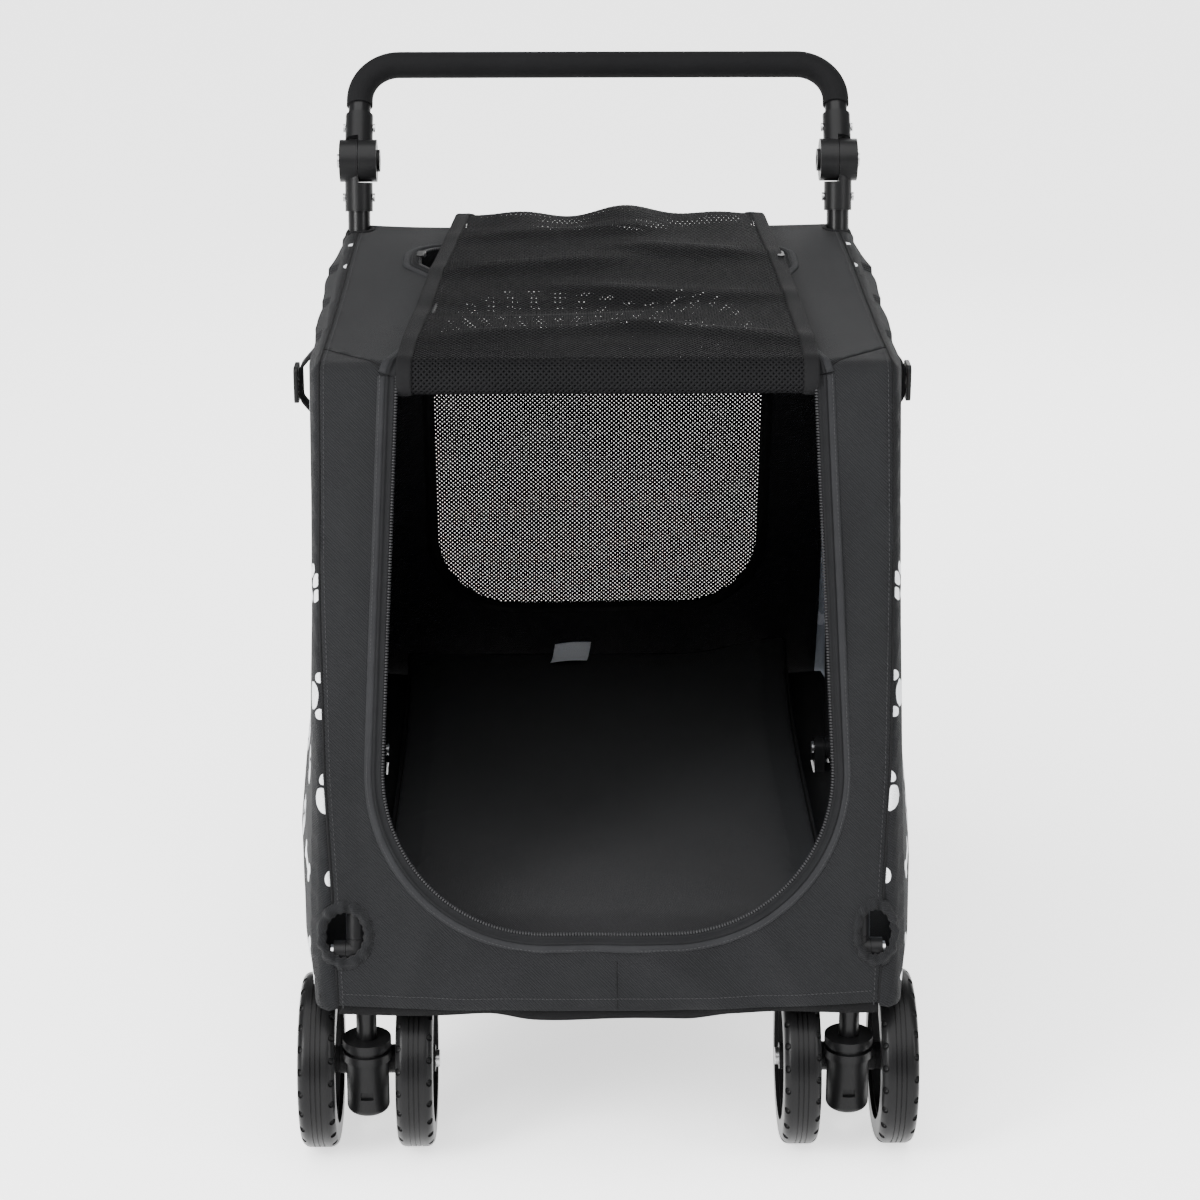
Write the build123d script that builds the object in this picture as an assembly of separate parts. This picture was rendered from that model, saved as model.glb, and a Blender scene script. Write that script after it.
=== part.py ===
from build123d import *
import os
from math import atan2, cos, hypot, radians, sin, tan

# Pet stroller: a folding tube frame on twin-wheel casters and rear wheels, with a fabric cabin.
# Millimetres. +X is to the right when facing the doorway, -Y is the front, +Z is up.
# The origin is on the floor, under the middle of the stroller.

# Clearances
RUN = 0.06  # radial, where one piece turns or slides on another
SEAT = 0.4  # between pieces that rest on each other
SOCKET = 0.15  # radial, round a tube that sits fixed in a moulded socket

# Whole stroller
HALF_LENGTH = 462.0  # from the middle to the front of the caster tyres, and to the foot of the rear panel

# Wheels
WHEEL_D = 182.0
TYRE_W = 38.0
TYRE_WALL = 25.0
SHOULDER_R = 9.0
GROOVE_W = 1.4
GROOVE_DEPTH = 1.2
GROOVE_PITCH = 5.0
DIMPLES = 24  # on each shoulder
DIMPLE_R = 4.0
RIM_W = 30.0
RIM_WALL = 5.0
HUB_D = 28.0
SPOKES = 6
SPOKE_W = 11.0
SPOKE_T = 9.0
AXLE_D = 10.0
AXLE_HEAD_D = 18.0
AXLE_HEAD_T = 4.0

# Casters
TWIN_GAP = 62.0  # between the two tyres of one caster
TRAIL = 34.0
STEM_D = 12.0
STEM_GAP = 1.5  # between the stem and the rail beside it
STEM_SLEEVE_D = 21.0
HOUSING_D = 44.0
HOUSING_TOP_Z = 134.0
HOUSING_FLOOR_Z = 51.0
HOUSING_RING_T = 9.0
HOUSING_RING_PROUD = 3.0
BARREL_D = 30.0
STEM_TIP_Z = 64.0
WINDOW_W = 13.0
WINDOW_H = 9.0
WINDOW_DEPTH = 4.0
WINDOW_Z = 76.0

# Frame tubes
TUBE_D = 22.0
TUBE_WALL = 1.6
UPRIGHT_D = 26.0
WHEEL_CLEAR = 4.5  # from the tyres to the tubes above them
FRONT_OVERHANG = 81.0  # from the caster wheels' axle to the foot of the front panel
UPRIGHT_X = 280.0
FRAME_GAP = 1.0  # between the hoop and the uprights where they fold past each other
CAP_T = 5.0
PIVOT_Z = 240.0
PIVOT_PIN_D = 8.0
PIN_HEAD_D = 14.0
PIN_HEAD_T = 2.6
PIN_REACH = 16.0  # how deep a pivot pin goes into the foot that it carries
LUG_T = 12.0
SADDLE_WALL = 4.0  # plastic over a rail, under a lug
FOOT_PLUG = 26.0
FOOT_GAP = 2.0  # from a foot's eye to the end of its tube
CORNER_BACK = 24.0  # how far a front corner reaches behind and inside the stem
LUG_HALF = 18.0
MID_TUBE_Y = -40.0

# Front hoop
FRONT_LEAN = 16.8
HOOP_BEND_R = 75.0

# Uprights, knuckles and handle
UPRIGHT_FOOT_Y = 125.0
UPRIGHT_LEAN = 13.3
UPRIGHT_LENGTH = 694.0  # from the pivot to the knuckle
ROOF_DROP = 74.4  # from the knuckle down the upright to the height of the roof's rear edge
KNUCKLE_D = 49.0
KNUCKLE_W = 43.0
KNUCKLE_SPLIT = 0.6
SLEEVE_WALL = 3.0
SLEEVE_L = 32.0
BOLT_D = 8.0
BOLT_HEAD_D = 16.0
BOLT_HEAD_T = 3.0
BUTTON_D = 26.0
BUTTON_PROUD = 3.5
BUTTON_T = 8.0
RIVET_D = 5.0
RIVET_HEAD_D = 10.0
RIVET_HEAD_T = 2.0
HANDLE_LEAN = 38.0
HANDLE_REACH = 126.0  # from the knuckle's axis to the middle of the grip
HANDLE_BEND_R = 46.0
GRIP_WALL = 2.2
GRIP_LEG = 8.0  # how far the grip runs down past each bend

# Rear wheels and brakes
REAR_AXLE_IN = 110.0  # from the foot of the rear panel forward to the rear axle
LEG_W = 22.0
LEG_TOP_L = 62.0
LEG_EYE_D = 34.0
WHEEL_SIDE_GAP = 4.0
EAR_T = 10.0
EAR_D = 17.0
EAR_REACH = 35.0  # from the rear axle back to the pedal's pivot
EAR_RISE = 48.0
PEDAL_PIN_D = 6.0
PEDAL_EYE_D = 19.0
PEDAL_ARM = 36.0
PEDAL_T = 9.0
PAD_L = 26.0
PAD_W = 44.0

# Floor
BOARD_T = 6.0
CUSHION_T = 38.0
CUSHION_EDGE_T = 24.0
CUSHION_DRAW = 7.0  # how far each side pulls in between its corners
CUSHION_ROUND = 26.0
CUSHION_INSET = 6.0
TAG_W = 46.0
TAG_L = 40.0
TAG_T = 0.8
TAG_X = -34.0

# Cabin fabric
FABRIC = 3.0
HEM_Z = 190.0
BEND_SLACK = 1.6  # how much wider the roof's bend is than the hoop it passes over
ROOF_RISE = 30.0  # from the corner over the front panel to the roof's rear edge
ROOF_BAND = 104.0  # fabric strip behind the roof opening
DOOR_HALF = 230.0
DOOR_TOP_HALF = 212.0
DOOR_SILL = 72.0  # from the hem, along the panel
DOOR_R = 165.0
ZIP_W = 13.0
ZIP_T = 2.0
HOLE_W = 42.0
HOLE_H = 50.0
HOLE_RISE = 18.0  # from the hoop's pivot up to the middle of the hole round it
WINDOW_HALF = 203.0
WINDOW_FOOT = 132.0  # from the hem, along the rear panel
WINDOW_TALL = 455.0
WINDOW_R = 100.0
NET_T = 1.6
NET_PITCH_X = 30.0
NET_PITCH_Y = 23.0
NET_THREAD = 5.0
SIDE_SWELL = ((0.0, 6.0), (45.0, 28.0), (110.0, 30.0), (230.0, 16.0), (370.0, 10.0))  # height, swell
TOP_SWELL = 9.0
DOOR_FOLD_WAVES = (3.0, 6.0, -5.0, 7.0, -4.0, 5.0)  # rise of the thrown-back door, fold by fold
DOOR_FOLD_T = 4.0
DOOR_FOLD_IN = 18.0  # how much narrower the door lies at its back edge

# Side straps
STRAP_W = 25.0
STRAP_T = 2.2
STRAP_Y = -30.0
STRAP_BELOW = 43.0  # from the corner over the front panel down to the top of a strap's loop
STRAP_DROP = 76.0
STRAP_OUT = 20.0
BUCKLE_W = 34.0
BUCKLE_H = 40.0
BUCKLE_T = 5.0
BUCKLE_BAR = 6.0

# Places that follow from the sizes above
BASE_Z = WHEEL_D + WHEEL_CLEAR + TUBE_D / 2
AXLE_Z = WHEEL_D / 2
WHEEL_Y = WHEEL_D / 2 - HALF_LENGTH
REAR_AXLE_Y = HALF_LENGTH - REAR_AXLE_IN
STEM_Y = WHEEL_Y - TRAIL
FOOT_Y = WHEEL_Y - FRONT_OVERHANG
HOOP_X = UPRIGHT_X - UPRIGHT_D / 2 - FRAME_GAP - TUBE_D / 2
RAIL_X = (HOOP_X + UPRIGHT_X) / 2
CASTER_X = RAIL_X - TUBE_D / 2 - STEM_GAP - STEM_D / 2  # swivel axis, each side of the middle
CABIN_HALF = UPRIGHT_X + UPRIGHT_D / 2 + SEAT + FABRIC
INNER_HALF = CABIN_HALF - FABRIC - SEAT
TUBE_SEAT = FABRIC + SEAT + TUBE_D / 2  # from a panel's outer face to the axis of a tube behind it
ROOF_BEND_R = TUBE_SEAT + BEND_SLACK
LEAN = radians(FRONT_LEAN)
RISE = radians(UPRIGHT_LEAN)
BACK = radians(HANDLE_LEAN)
SIDES = {"left": -1, "right": 1}


def front_y(z, depth=0.0):
    """Y at height z of the plane that lies depth behind the front panel's outer face."""
    return FOOT_Y + (z - HEM_Z) * tan(LEAN) + depth / cos(LEAN)


CROSS_Y = front_y(BASE_Z, TUBE_SEAT)
HOOP_Y = front_y(PIVOT_Z, TUBE_SEAT)
KNUCKLE_Y = UPRIGHT_FOOT_Y + UPRIGHT_LENGTH * sin(RISE)
KNUCKLE_Z = PIVOT_Z + UPRIGHT_LENGTH * cos(RISE)
ROOF_REAR_Z = PIVOT_Z + (UPRIGHT_LENGTH - ROOF_DROP) * cos(RISE)
CORNER_Z = ROOF_REAR_Z - ROOF_RISE  # where the front panel's plane meets the roof's plane
CORNER_Y = front_y(CORNER_Z)
STRAP_TOP_Z = CORNER_Z - STRAP_BELOW
UPRIGHT_TOP_Y = UPRIGHT_FOOT_Y + (ROOF_REAR_Z - PIVOT_Z) * tan(RISE)
ROOF_REAR_Y = UPRIGHT_TOP_Y + UPRIGHT_D / 2 / cos(RISE) + 3 * FABRIC
REAR_TILT = atan2(HALF_LENGTH - ROOF_REAR_Y, ROOF_REAR_Z - HEM_Z)
ROOF_PITCH = atan2(ROOF_RISE, ROOF_REAR_Y - CORNER_Y)


def rear_y(z, depth=0.0):
    """Y at height z of the plane that lies depth in front of the rear panel's outer face."""
    return HALF_LENGTH - (z - HEM_Z) * tan(REAR_TILT) - depth / cos(REAR_TILT)


REAR_CROSS_Y = rear_y(BASE_Z, TUBE_SEAT)
FRONT = Plane((0, FOOT_Y, HEM_Z), x_dir=(1, 0, 0), z_dir=(0, -cos(LEAN), sin(LEAN)))
REAR = Plane((0, HALF_LENGTH, HEM_Z), x_dir=(-1, 0, 0), z_dir=(0, cos(REAR_TILT), sin(REAR_TILT)))
REAR_TALL = (ROOF_REAR_Z - HEM_Z) / cos(REAR_TILT)
ROOF_TURN = radians(90) - LEAN - ROOF_PITCH
BEND_RUN = ROOF_BEND_R * tan(ROOF_TURN / 2)  # from the corner to where the roof's bend starts
PANEL_TALL = (CORNER_Z - HEM_Z) / cos(LEAN) - BEND_RUN
PIVOT_RUN = (PIVOT_Z - HEM_Z + TUBE_SEAT * sin(LEAN)) / cos(LEAN)
FOOT_END = TUBE_D / 2 + FOOT_GAP
BOARD_HALF = HOOP_X - TUBE_D / 2 - FRAME_GAP
BOARD_Z = BASE_Z + TUBE_D / 2 + SEAT
CUSHION_Z = BOARD_Z + BOARD_T + SEAT
LEG_X = RAIL_X - LEG_W / 4
REAR_WHEEL_X = LEG_X + LEG_W / 2 + WHEEL_SIDE_GAP + TYRE_W / 2
CORNER_OUT_X = HOOP_X + TUBE_D / 2 + SEAT + LUG_T
CROSS_TUBE_HALF = INNER_HALF - SEAT - CAP_T


def bar(start, end, dia, wall=0.0):
    """Round bar, or a tube where a wall is given, from one point to another."""
    axis = Vector(*end) - Vector(*start)
    section = Circle(dia / 2)
    if wall:
        section = section - Circle(dia / 2 - wall)
    return extrude(Plane(start, z_dir=axis) * section, axis.length)


def cross_bar(y, z, x_from, x_to, dia, wall=0.0):
    """Bar along X."""
    return bar((x_from, y, z), (x_to, y, z), dia, wall)


def block(x_from, x_to, y_from, y_to, z_from, z_to):
    """Box between two corners, given in any order."""
    size = [abs(x_to - x_from), abs(y_to - y_from), abs(z_to - z_from)]
    middle = ((x_from + x_to) / 2, (y_from + y_to) / 2, (z_from + z_to) / 2)
    return Pos(*middle) * Box(*size)


def side_plate(outline, x_from, x_to):
    """Flat plate across X with an outline given as (Y, Z) points."""
    low, high = sorted((x_from, x_to))
    return extrude(Plane.YZ.offset(low) * Polygon(*outline, align=None), high - low)


def bent_tube(plane, points, bend_r, dia, wall):
    """Tube of even wall along filleted straight runs in a plane."""
    path = plane * FilletPolyline(*points, radius=bend_r)
    ring = Circle(dia / 2) - Circle(dia / 2 - wall)
    return sweep(Plane(path @ 0, z_dir=path % 0) * ring, path=path)


def pair(make):
    """The left and right copies of a piece in one group of separate solids."""
    return Compound(children=[make(side) for side in SIDES.values()])


# Base frame
def front_cross_tube():
    return cross_bar(CROSS_Y, BASE_Z, -CROSS_TUBE_HALF, CROSS_TUBE_HALF, TUBE_D, TUBE_WALL)


def tube_caps():
    def cap(side):
        end = side * CROSS_TUBE_HALF
        plug = cross_bar(CROSS_Y, BASE_Z, end - side * 2 * CAP_T, end, TUBE_D - 2 * TUBE_WALL - 2 * SOCKET)
        return plug + cross_bar(CROSS_Y, BASE_Z, end, end + side * CAP_T, TUBE_D)

    return pair(cap)


def base_rail(side):
    x = side * RAIL_X
    rail = bar((x, CROSS_Y, BASE_Z), (x, REAR_CROSS_Y, BASE_Z), TUBE_D, TUBE_WALL)
    for y in (CROSS_Y, REAR_CROSS_Y):
        rail -= cross_bar(y, BASE_Z, x - side * TUBE_D, x + side * TUBE_D, TUBE_D + 2 * SOCKET)
    return rail


def mid_cross_tube():
    tube = cross_bar(MID_TUBE_Y, BASE_Z, -RAIL_X, RAIL_X, TUBE_D, TUBE_WALL)
    for side in SIDES.values():
        x = side * RAIL_X
        tube -= bar((x, MID_TUBE_Y - TUBE_D, BASE_Z), (x, MID_TUBE_Y + TUBE_D, BASE_Z), TUBE_D + 2 * SOCKET)
    return tube


def rear_cross_tube():
    half = RAIL_X + TUBE_D / 2
    return cross_bar(REAR_CROSS_Y, BASE_Z, -half, half, TUBE_D, TUBE_WALL)


def front_corner(side):
    """Moulded corner: sockets for the cross tube, rail and stem, and the lug that carries the hoop."""
    inner = side * (CASTER_X - CORNER_BACK)
    outer = side * CORNER_OUT_X
    half = TUBE_D / 2
    body = block(inner, outer, CROSS_Y, STEM_Y + CORNER_BACK, BASE_Z - half, BASE_Z + half)
    body = fillet(body.edges().filter_by(Axis.Z).group_by(Axis.Y)[-1], CORNER_BACK / 3)
    lug_in = outer - side * LUG_T
    saddle_in = side * (BOARD_HALF + SEAT)
    saddle_top = BASE_Z + half + SADDLE_WALL
    body += block(saddle_in, outer, HOOP_Y - half, STEM_Y + CORNER_BACK, BASE_Z, saddle_top)
    body += block(lug_in, outer, HOOP_Y - half, HOOP_Y + half, BASE_Z, PIVOT_Z)
    body += cross_bar(HOOP_Y, PIVOT_Z, lug_in, outer, TUBE_D)
    body -= cross_bar(CROSS_Y, BASE_Z, inner - side * half, outer + side * half, TUBE_D + 2 * SOCKET)
    x = side * RAIL_X
    body -= bar((x, CROSS_Y, BASE_Z), (x, STEM_Y + 2 * CORNER_BACK, BASE_Z), TUBE_D + 2 * SOCKET)
    body -= bar((side * CASTER_X, STEM_Y, 0), (side * CASTER_X, STEM_Y, PIVOT_Z), STEM_D + 2 * SOCKET)
    body -= cross_bar(HOOP_Y, PIVOT_Z, lug_in - side, outer + side, PIVOT_PIN_D + 2 * SOCKET)
    return max(body.solids(), key=lambda solid: solid.volume)


def upright_lugs():
    """Saddles on the rails with an eye for the uprights' pivot pins."""
    def lug(side):
        outer = side * (UPRIGHT_X - UPRIGHT_D / 2 - SEAT)
        inner = outer - side * LUG_T
        shelf_top = BASE_Z + TUBE_D / 2 + SADDLE_WALL
        y_from, y_to = UPRIGHT_FOOT_Y - LUG_HALF, UPRIGHT_FOOT_Y + LUG_HALF
        body = block(inner, side * (RAIL_X + TUBE_D / 2), y_from, y_to, BASE_Z, shelf_top)
        post = [(y_from, BASE_Z), (y_to, BASE_Z), (UPRIGHT_FOOT_Y + UPRIGHT_D / 2, PIVOT_Z),
                (UPRIGHT_FOOT_Y - UPRIGHT_D / 2, PIVOT_Z)]
        body += side_plate(post, inner, outer)
        body += cross_bar(UPRIGHT_FOOT_Y, PIVOT_Z, inner, outer, UPRIGHT_D)
        x = side * RAIL_X
        body -= bar((x, y_from - LUG_T, BASE_Z), (x, y_to + LUG_T, BASE_Z), TUBE_D + 2 * SOCKET)
        body -= cross_bar(UPRIGHT_FOOT_Y, PIVOT_Z, inner - side, outer + side, PIVOT_PIN_D + 2 * SOCKET)
        return max(body.solids(), key=lambda solid: solid.volume)

    return pair(lug)


def pivot_pins():
    """Headed pins: the hoop's go in from outside, the uprights' from inside."""
    pins = []
    for side in SIDES.values():
        hoop_face = side * (HOOP_X + TUBE_D / 2)
        for y, face, way in (
            (HOOP_Y, hoop_face, side),
            (UPRIGHT_FOOT_Y, side * (UPRIGHT_X - UPRIGHT_D / 2), -side),
        ):
            head = face + way * (LUG_T + 2 * SEAT)
            pin = cross_bar(y, PIVOT_Z, face - way * PIN_REACH, head, PIVOT_PIN_D)
            pins.append(pin + cross_bar(y, PIVOT_Z, head, head + way * PIN_HEAD_T, PIN_HEAD_D))
    return Compound(children=pins)


def caster_stems():
    def stem(side):
        x = side * CASTER_X
        under = BASE_Z - TUBE_D / 2 - SEAT
        shank = bar((x, STEM_Y, STEM_TIP_Z), (x, STEM_Y, BASE_Z + TUBE_D / 2), STEM_D)
        return shank + bar((x, STEM_Y, HOUSING_TOP_Z + SEAT), (x, STEM_Y, under), STEM_SLEEVE_D)

    return pair(stem)


def rear_leg(side):
    """Moulded leg from the rail down to the rear axle, with an ear for the brake pedal."""
    x_from, x_to = side * (LEG_X - LEG_W / 2), side * (LEG_X + LEG_W / 2)
    top = BASE_Z + TUBE_D / 6
    half_top, half_eye = LEG_TOP_L / 2, LEG_EYE_D / 2
    outline = [
        (REAR_AXLE_Y - half_top, top),
        (REAR_AXLE_Y - half_eye, AXLE_Z),
        (REAR_AXLE_Y + half_eye, AXLE_Z),
        (REAR_AXLE_Y + half_top, top),
    ]
    leg = side_plate(outline, x_from, x_to) + cross_bar(REAR_AXLE_Y, AXLE_Z, x_from, x_to, LEG_EYE_D)
    ear_from, ear_to = side * (LEG_X - EAR_T / 2), side * (LEG_X + EAR_T / 2)
    ear_y, ear_z = REAR_AXLE_Y + EAR_REACH, AXLE_Z + EAR_RISE
    leg += block(ear_from, ear_to, REAR_AXLE_Y, ear_y, ear_z - EAR_D / 2, ear_z + EAR_D / 2)
    leg += cross_bar(ear_y, ear_z, ear_from, ear_to, EAR_D)
    x = side * RAIL_X
    leg -= bar((x, REAR_AXLE_Y - LEG_TOP_L, BASE_Z), (x, REAR_AXLE_Y + LEG_TOP_L, BASE_Z), TUBE_D + 2 * SOCKET)
    leg -= cross_bar(REAR_AXLE_Y, AXLE_Z, x_from - side, x_to + side, AXLE_D + 2 * SOCKET)
    leg -= cross_bar(ear_y, ear_z, ear_from - side, ear_to + side, PEDAL_PIN_D + 2 * RUN)
    return max(leg.solids(), key=lambda solid: solid.volume)


def rear_axle():
    end = REAR_WHEEL_X + TYRE_W / 2 + SEAT
    axle = cross_bar(REAR_AXLE_Y, AXLE_Z, -end, end, AXLE_D)
    for side in SIDES.values():
        axle += cross_bar(REAR_AXLE_Y, AXLE_Z, side * end, side * (end + AXLE_HEAD_T), AXLE_HEAD_D)
    return axle


def brake_pedal(side):
    """Foot lever that straddles the leg's ear and turns on its own cross pin."""
    y, z = REAR_AXLE_Y + EAR_REACH, AXLE_Z + EAR_RISE
    x_from, x_to = side * (LEG_X - LEG_W / 2), side * (LEG_X + LEG_W / 2)
    ear_half = EAR_T / 2 + SEAT
    pedal = cross_bar(y, z, x_from, x_to, PEDAL_EYE_D)
    pedal += block(x_from, x_to, y, y + PEDAL_ARM, z - PEDAL_T / 2, z + PEDAL_T / 2)
    pad_x = x_to - side * PAD_W
    pad = block(pad_x, x_to, y + PEDAL_ARM, y + PEDAL_ARM + PAD_L, z - PEDAL_T / 2, z + PEDAL_T / 2)
    pedal += fillet(pad.edges().filter_by(Axis.Z).group_by(Axis.Y)[-1], PAD_L / 4)
    slot_end = y + EAR_D / 2 + SEAT
    leg_back = y - PEDAL_EYE_D
    slot_x = side * LEG_X
    pedal -= block(slot_x - ear_half, slot_x + ear_half, leg_back, slot_end, z - PEDAL_EYE_D, z + PEDAL_EYE_D)
    pedal += cross_bar(y, z, x_from, x_to, PEDAL_PIN_D)
    return pedal


# Wheels, built on the X axis and then set in place
def tyre():
    bore = WHEEL_D / 2 - TYRE_WALL + SOCKET
    section = Pos(0, (WHEEL_D / 2 + bore) / 2) * Rectangle(TYRE_W, WHEEL_D / 2 - bore)
    section = fillet(section.vertices().group_by(Axis.Y)[-1], SHOULDER_R)
    for step in (-1, 0, 1):
        section -= Pos(step * GROOVE_PITCH, WHEEL_D / 2) * Rectangle(GROOVE_W, 2 * GROOVE_DEPTH)
    ring = revolve(section, Axis.X)
    dent_x = TYRE_W / 2 - SHOULDER_R / 3
    dent_r = WHEEL_D / 2 - SHOULDER_R / 3
    dents = []
    for i in range(DIMPLES):
        for end in (-1, 1):
            turn = 360 / DIMPLES * (i + 0.25 * end)
            dents.append(Rot(turn, 0, 0) * Pos(end * dent_x, 0, dent_r) * Sphere(DIMPLE_R))
    return ring - dents


def rim():
    outer = WHEEL_D / 2 - TYRE_WALL
    hoop = extrude(Plane.YZ * (Circle(outer) - Circle(outer - RIM_WALL)), RIM_W / 2, both=True)
    wheel = hoop + cross_bar(0, 0, -TYRE_W / 2, TYRE_W / 2, HUB_D)
    reach = outer - RIM_WALL / 2
    for i in range(SPOKES):
        spoke = block(-SPOKE_T / 2, SPOKE_T / 2, -SPOKE_W / 2, SPOKE_W / 2, 0, reach)
        wheel += Rot(360 / SPOKES * i, 0, 0) * spoke
    return wheel - cross_bar(0, 0, -TYRE_W, TYRE_W, AXLE_D + 2 * RUN)


def caster_axle(side):
    x = side * CASTER_X
    half = TWIN_GAP / 2 + TYRE_W + SEAT
    axle = cross_bar(WHEEL_Y, AXLE_Z, x - half, x + half, AXLE_D)
    for way in (-1, 1):
        head = x + way * half
        axle += cross_bar(WHEEL_Y, AXLE_Z, head, head + way * AXLE_HEAD_T, AXLE_HEAD_D)
    return axle


def caster_housing(side):
    """Swivelling body: a ringed barrel round the stem, and a cross barrel that holds the axle."""
    x = side * CASTER_X
    body = bar((x, STEM_Y, HOUSING_FLOOR_Z), (x, STEM_Y, HOUSING_TOP_Z), HOUSING_D)
    body = fillet(body.edges().group_by(Axis.Z)[0], HOUSING_D / 6)
    ring_d = HOUSING_D + 2 * HOUSING_RING_PROUD
    for top in (HOUSING_TOP_Z, (HOUSING_TOP_Z + AXLE_Z + BARREL_D / 2) / 2):
        body += bar((x, STEM_Y, top - HOUSING_RING_T), (x, STEM_Y, top), ring_d)
    half = TWIN_GAP / 2 - SEAT
    body += cross_bar(WHEEL_Y, AXLE_Z, x - half, x + half, BARREL_D)
    web = BARREL_D / 2
    body += block(x - web, x + web, STEM_Y, WHEEL_Y, AXLE_Z - web, AXLE_Z + web)
    body -= bar((x, STEM_Y, STEM_TIP_Z - SEAT), (x, STEM_Y, HOUSING_TOP_Z + SEAT), STEM_D + 2 * RUN)
    body -= cross_bar(WHEEL_Y, AXLE_Z, x - TWIN_GAP, x + TWIN_GAP, AXLE_D + 2 * SOCKET)
    face = STEM_Y - HOUSING_D / 2
    half_w, half_h = WINDOW_W / 2, WINDOW_H / 2
    body -= block(x - half_w, x + half_w, face - SEAT, face + WINDOW_DEPTH, WINDOW_Z - half_h, WINDOW_Z + half_h)
    return max(body.solids(), key=lambda solid: solid.volume)


# Front hoop
HOOP_PLANE = FRONT.offset(-TUBE_SEAT)


def front_hoop_tube():
    start = PIVOT_RUN + FOOT_END
    points = [(-HOOP_X, start), (-HOOP_X, PANEL_TALL), (HOOP_X, PANEL_TALL), (HOOP_X, start)]
    return bent_tube(HOOP_PLANE, points, HOOP_BEND_R, TUBE_D, TUBE_WALL)


def hoop_feet():
    """Moulded feet: an eye on the pivot pin and a plug up the hoop's leg."""
    up = Vector(0, sin(LEAN), cos(LEAN))

    def foot(side):
        x = side * HOOP_X
        pivot = Vector(x, HOOP_Y, PIVOT_Z)
        half = TUBE_D / 2
        shoulder = pivot + up * (FOOT_END - SEAT)
        piece = cross_bar(HOOP_Y, PIVOT_Z, x - half, x + half, TUBE_D)
        piece += bar(pivot, shoulder, TUBE_D - 2 * SOCKET)
        piece += bar(shoulder, shoulder + up * FOOT_PLUG, TUBE_D - 2 * TUBE_WALL - 2 * SOCKET)
        reach = x + side * (half - PIN_REACH - SEAT)
        return piece - cross_bar(HOOP_Y, PIVOT_Z, reach, x + side * TUBE_D, PIVOT_PIN_D + 2 * RUN)

    return pair(foot)


# Rear frame
UP = Vector(0, sin(RISE), cos(RISE))
UPRIGHT_END = UPRIGHT_D / 2 + FOOT_GAP
KNUCKLE_END = KNUCKLE_D / 2 + FOOT_GAP  # from the knuckle's axis to where the tubes start
SLEEVE_D = UPRIGHT_D + 2 * SOCKET + 2 * SLEEVE_WALL


def rivet_axis(side, along):
    """Middle of a knuckle's sleeve, where a rivet passes through it and the tube in it."""
    return Vector(side * UPRIGHT_X, KNUCKLE_Y, KNUCKLE_Z) + along * (KNUCKLE_END + SLEEVE_L / 2)


def rivet_hole(side, along):
    x, y, z = rivet_axis(side, along)
    return cross_bar(y, z, x - SLEEVE_D, x + SLEEVE_D, RIVET_D + 2 * SOCKET)


def rivets(along):
    """Headed rivets that hold two tubes in their sleeves."""
    def rivet(side):
        x, y, z = rivet_axis(side, along)
        half = SLEEVE_D / 2 + SEAT
        piece = cross_bar(y, z, x - half, x + half, RIVET_D)
        for way in (-1, 1):
            head = x + way * half
            piece += cross_bar(y, z, head, head + way * RIVET_HEAD_T, RIVET_HEAD_D)
        return piece

    return pair(rivet)


def upright(side):
    pivot = Vector(side * UPRIGHT_X, UPRIGHT_FOOT_Y, PIVOT_Z)
    tube = bar(pivot + UP * UPRIGHT_END, pivot + UP * (UPRIGHT_LENGTH - KNUCKLE_END), UPRIGHT_D, TUBE_WALL)
    return tube - rivet_hole(side, -UP)


def upright_feet():
    def foot(side):
        x = side * UPRIGHT_X
        pivot = Vector(x, UPRIGHT_FOOT_Y, PIVOT_Z)
        half = UPRIGHT_D / 2
        shoulder = pivot + UP * (UPRIGHT_END - SEAT)
        piece = cross_bar(UPRIGHT_FOOT_Y, PIVOT_Z, x - half, x + half, UPRIGHT_D)
        piece += bar(pivot, shoulder, UPRIGHT_D - 2 * SOCKET)
        piece += bar(shoulder, shoulder + UP * FOOT_PLUG, UPRIGHT_D - 2 * TUBE_WALL - 2 * SOCKET)
        reach = x - side * (half - PIN_REACH - SEAT)
        return piece - cross_bar(UPRIGHT_FOOT_Y, PIVOT_Z, reach, x - side * UPRIGHT_D, PIVOT_PIN_D + 2 * RUN)

    return pair(foot)


def knuckle_half(side, way, along):
    """One half of a knuckle: a drum on one side of the split and a sleeve round the end of its tube."""
    x = side * UPRIGHT_X
    hub = Vector(x, KNUCKLE_Y, KNUCKLE_Z)
    near = x + way * KNUCKLE_SPLIT / 2
    far = x + way * KNUCKLE_W / 2
    drum = cross_bar(KNUCKLE_Y, KNUCKLE_Z, near, far, KNUCKLE_D)
    start, end = hub + along * (KNUCKLE_END - FOOT_GAP / 2), hub + along * (KNUCKLE_END + SLEEVE_L)
    sleeve = bar(start, end, SLEEVE_D)
    neck = bar(hub, end, SLEEVE_D) - block(x, x - way * KNUCKLE_W, -HALF_LENGTH, HALF_LENGTH, 0, 2 * KNUCKLE_Z)
    neck -= block(near, x - way, -HALF_LENGTH, HALF_LENGTH, 0, 2 * KNUCKLE_Z)
    bore = bar(hub + along * KNUCKLE_END, hub + along * (KNUCKLE_END + 2 * SLEEVE_L), UPRIGHT_D + 2 * SOCKET)
    return drum + neck + sleeve - bore - rivet_hole(side, along)


def knuckle_bases():
    """Outer halves, fixed to the uprights."""
    def base(side):
        piece = knuckle_half(side, side, -UP)
        x = side * UPRIGHT_X
        return piece - cross_bar(KNUCKLE_Y, KNUCKLE_Z, x - KNUCKLE_W, x + KNUCKLE_W, BOLT_D + 2 * SOCKET)

    return pair(base)


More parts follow.
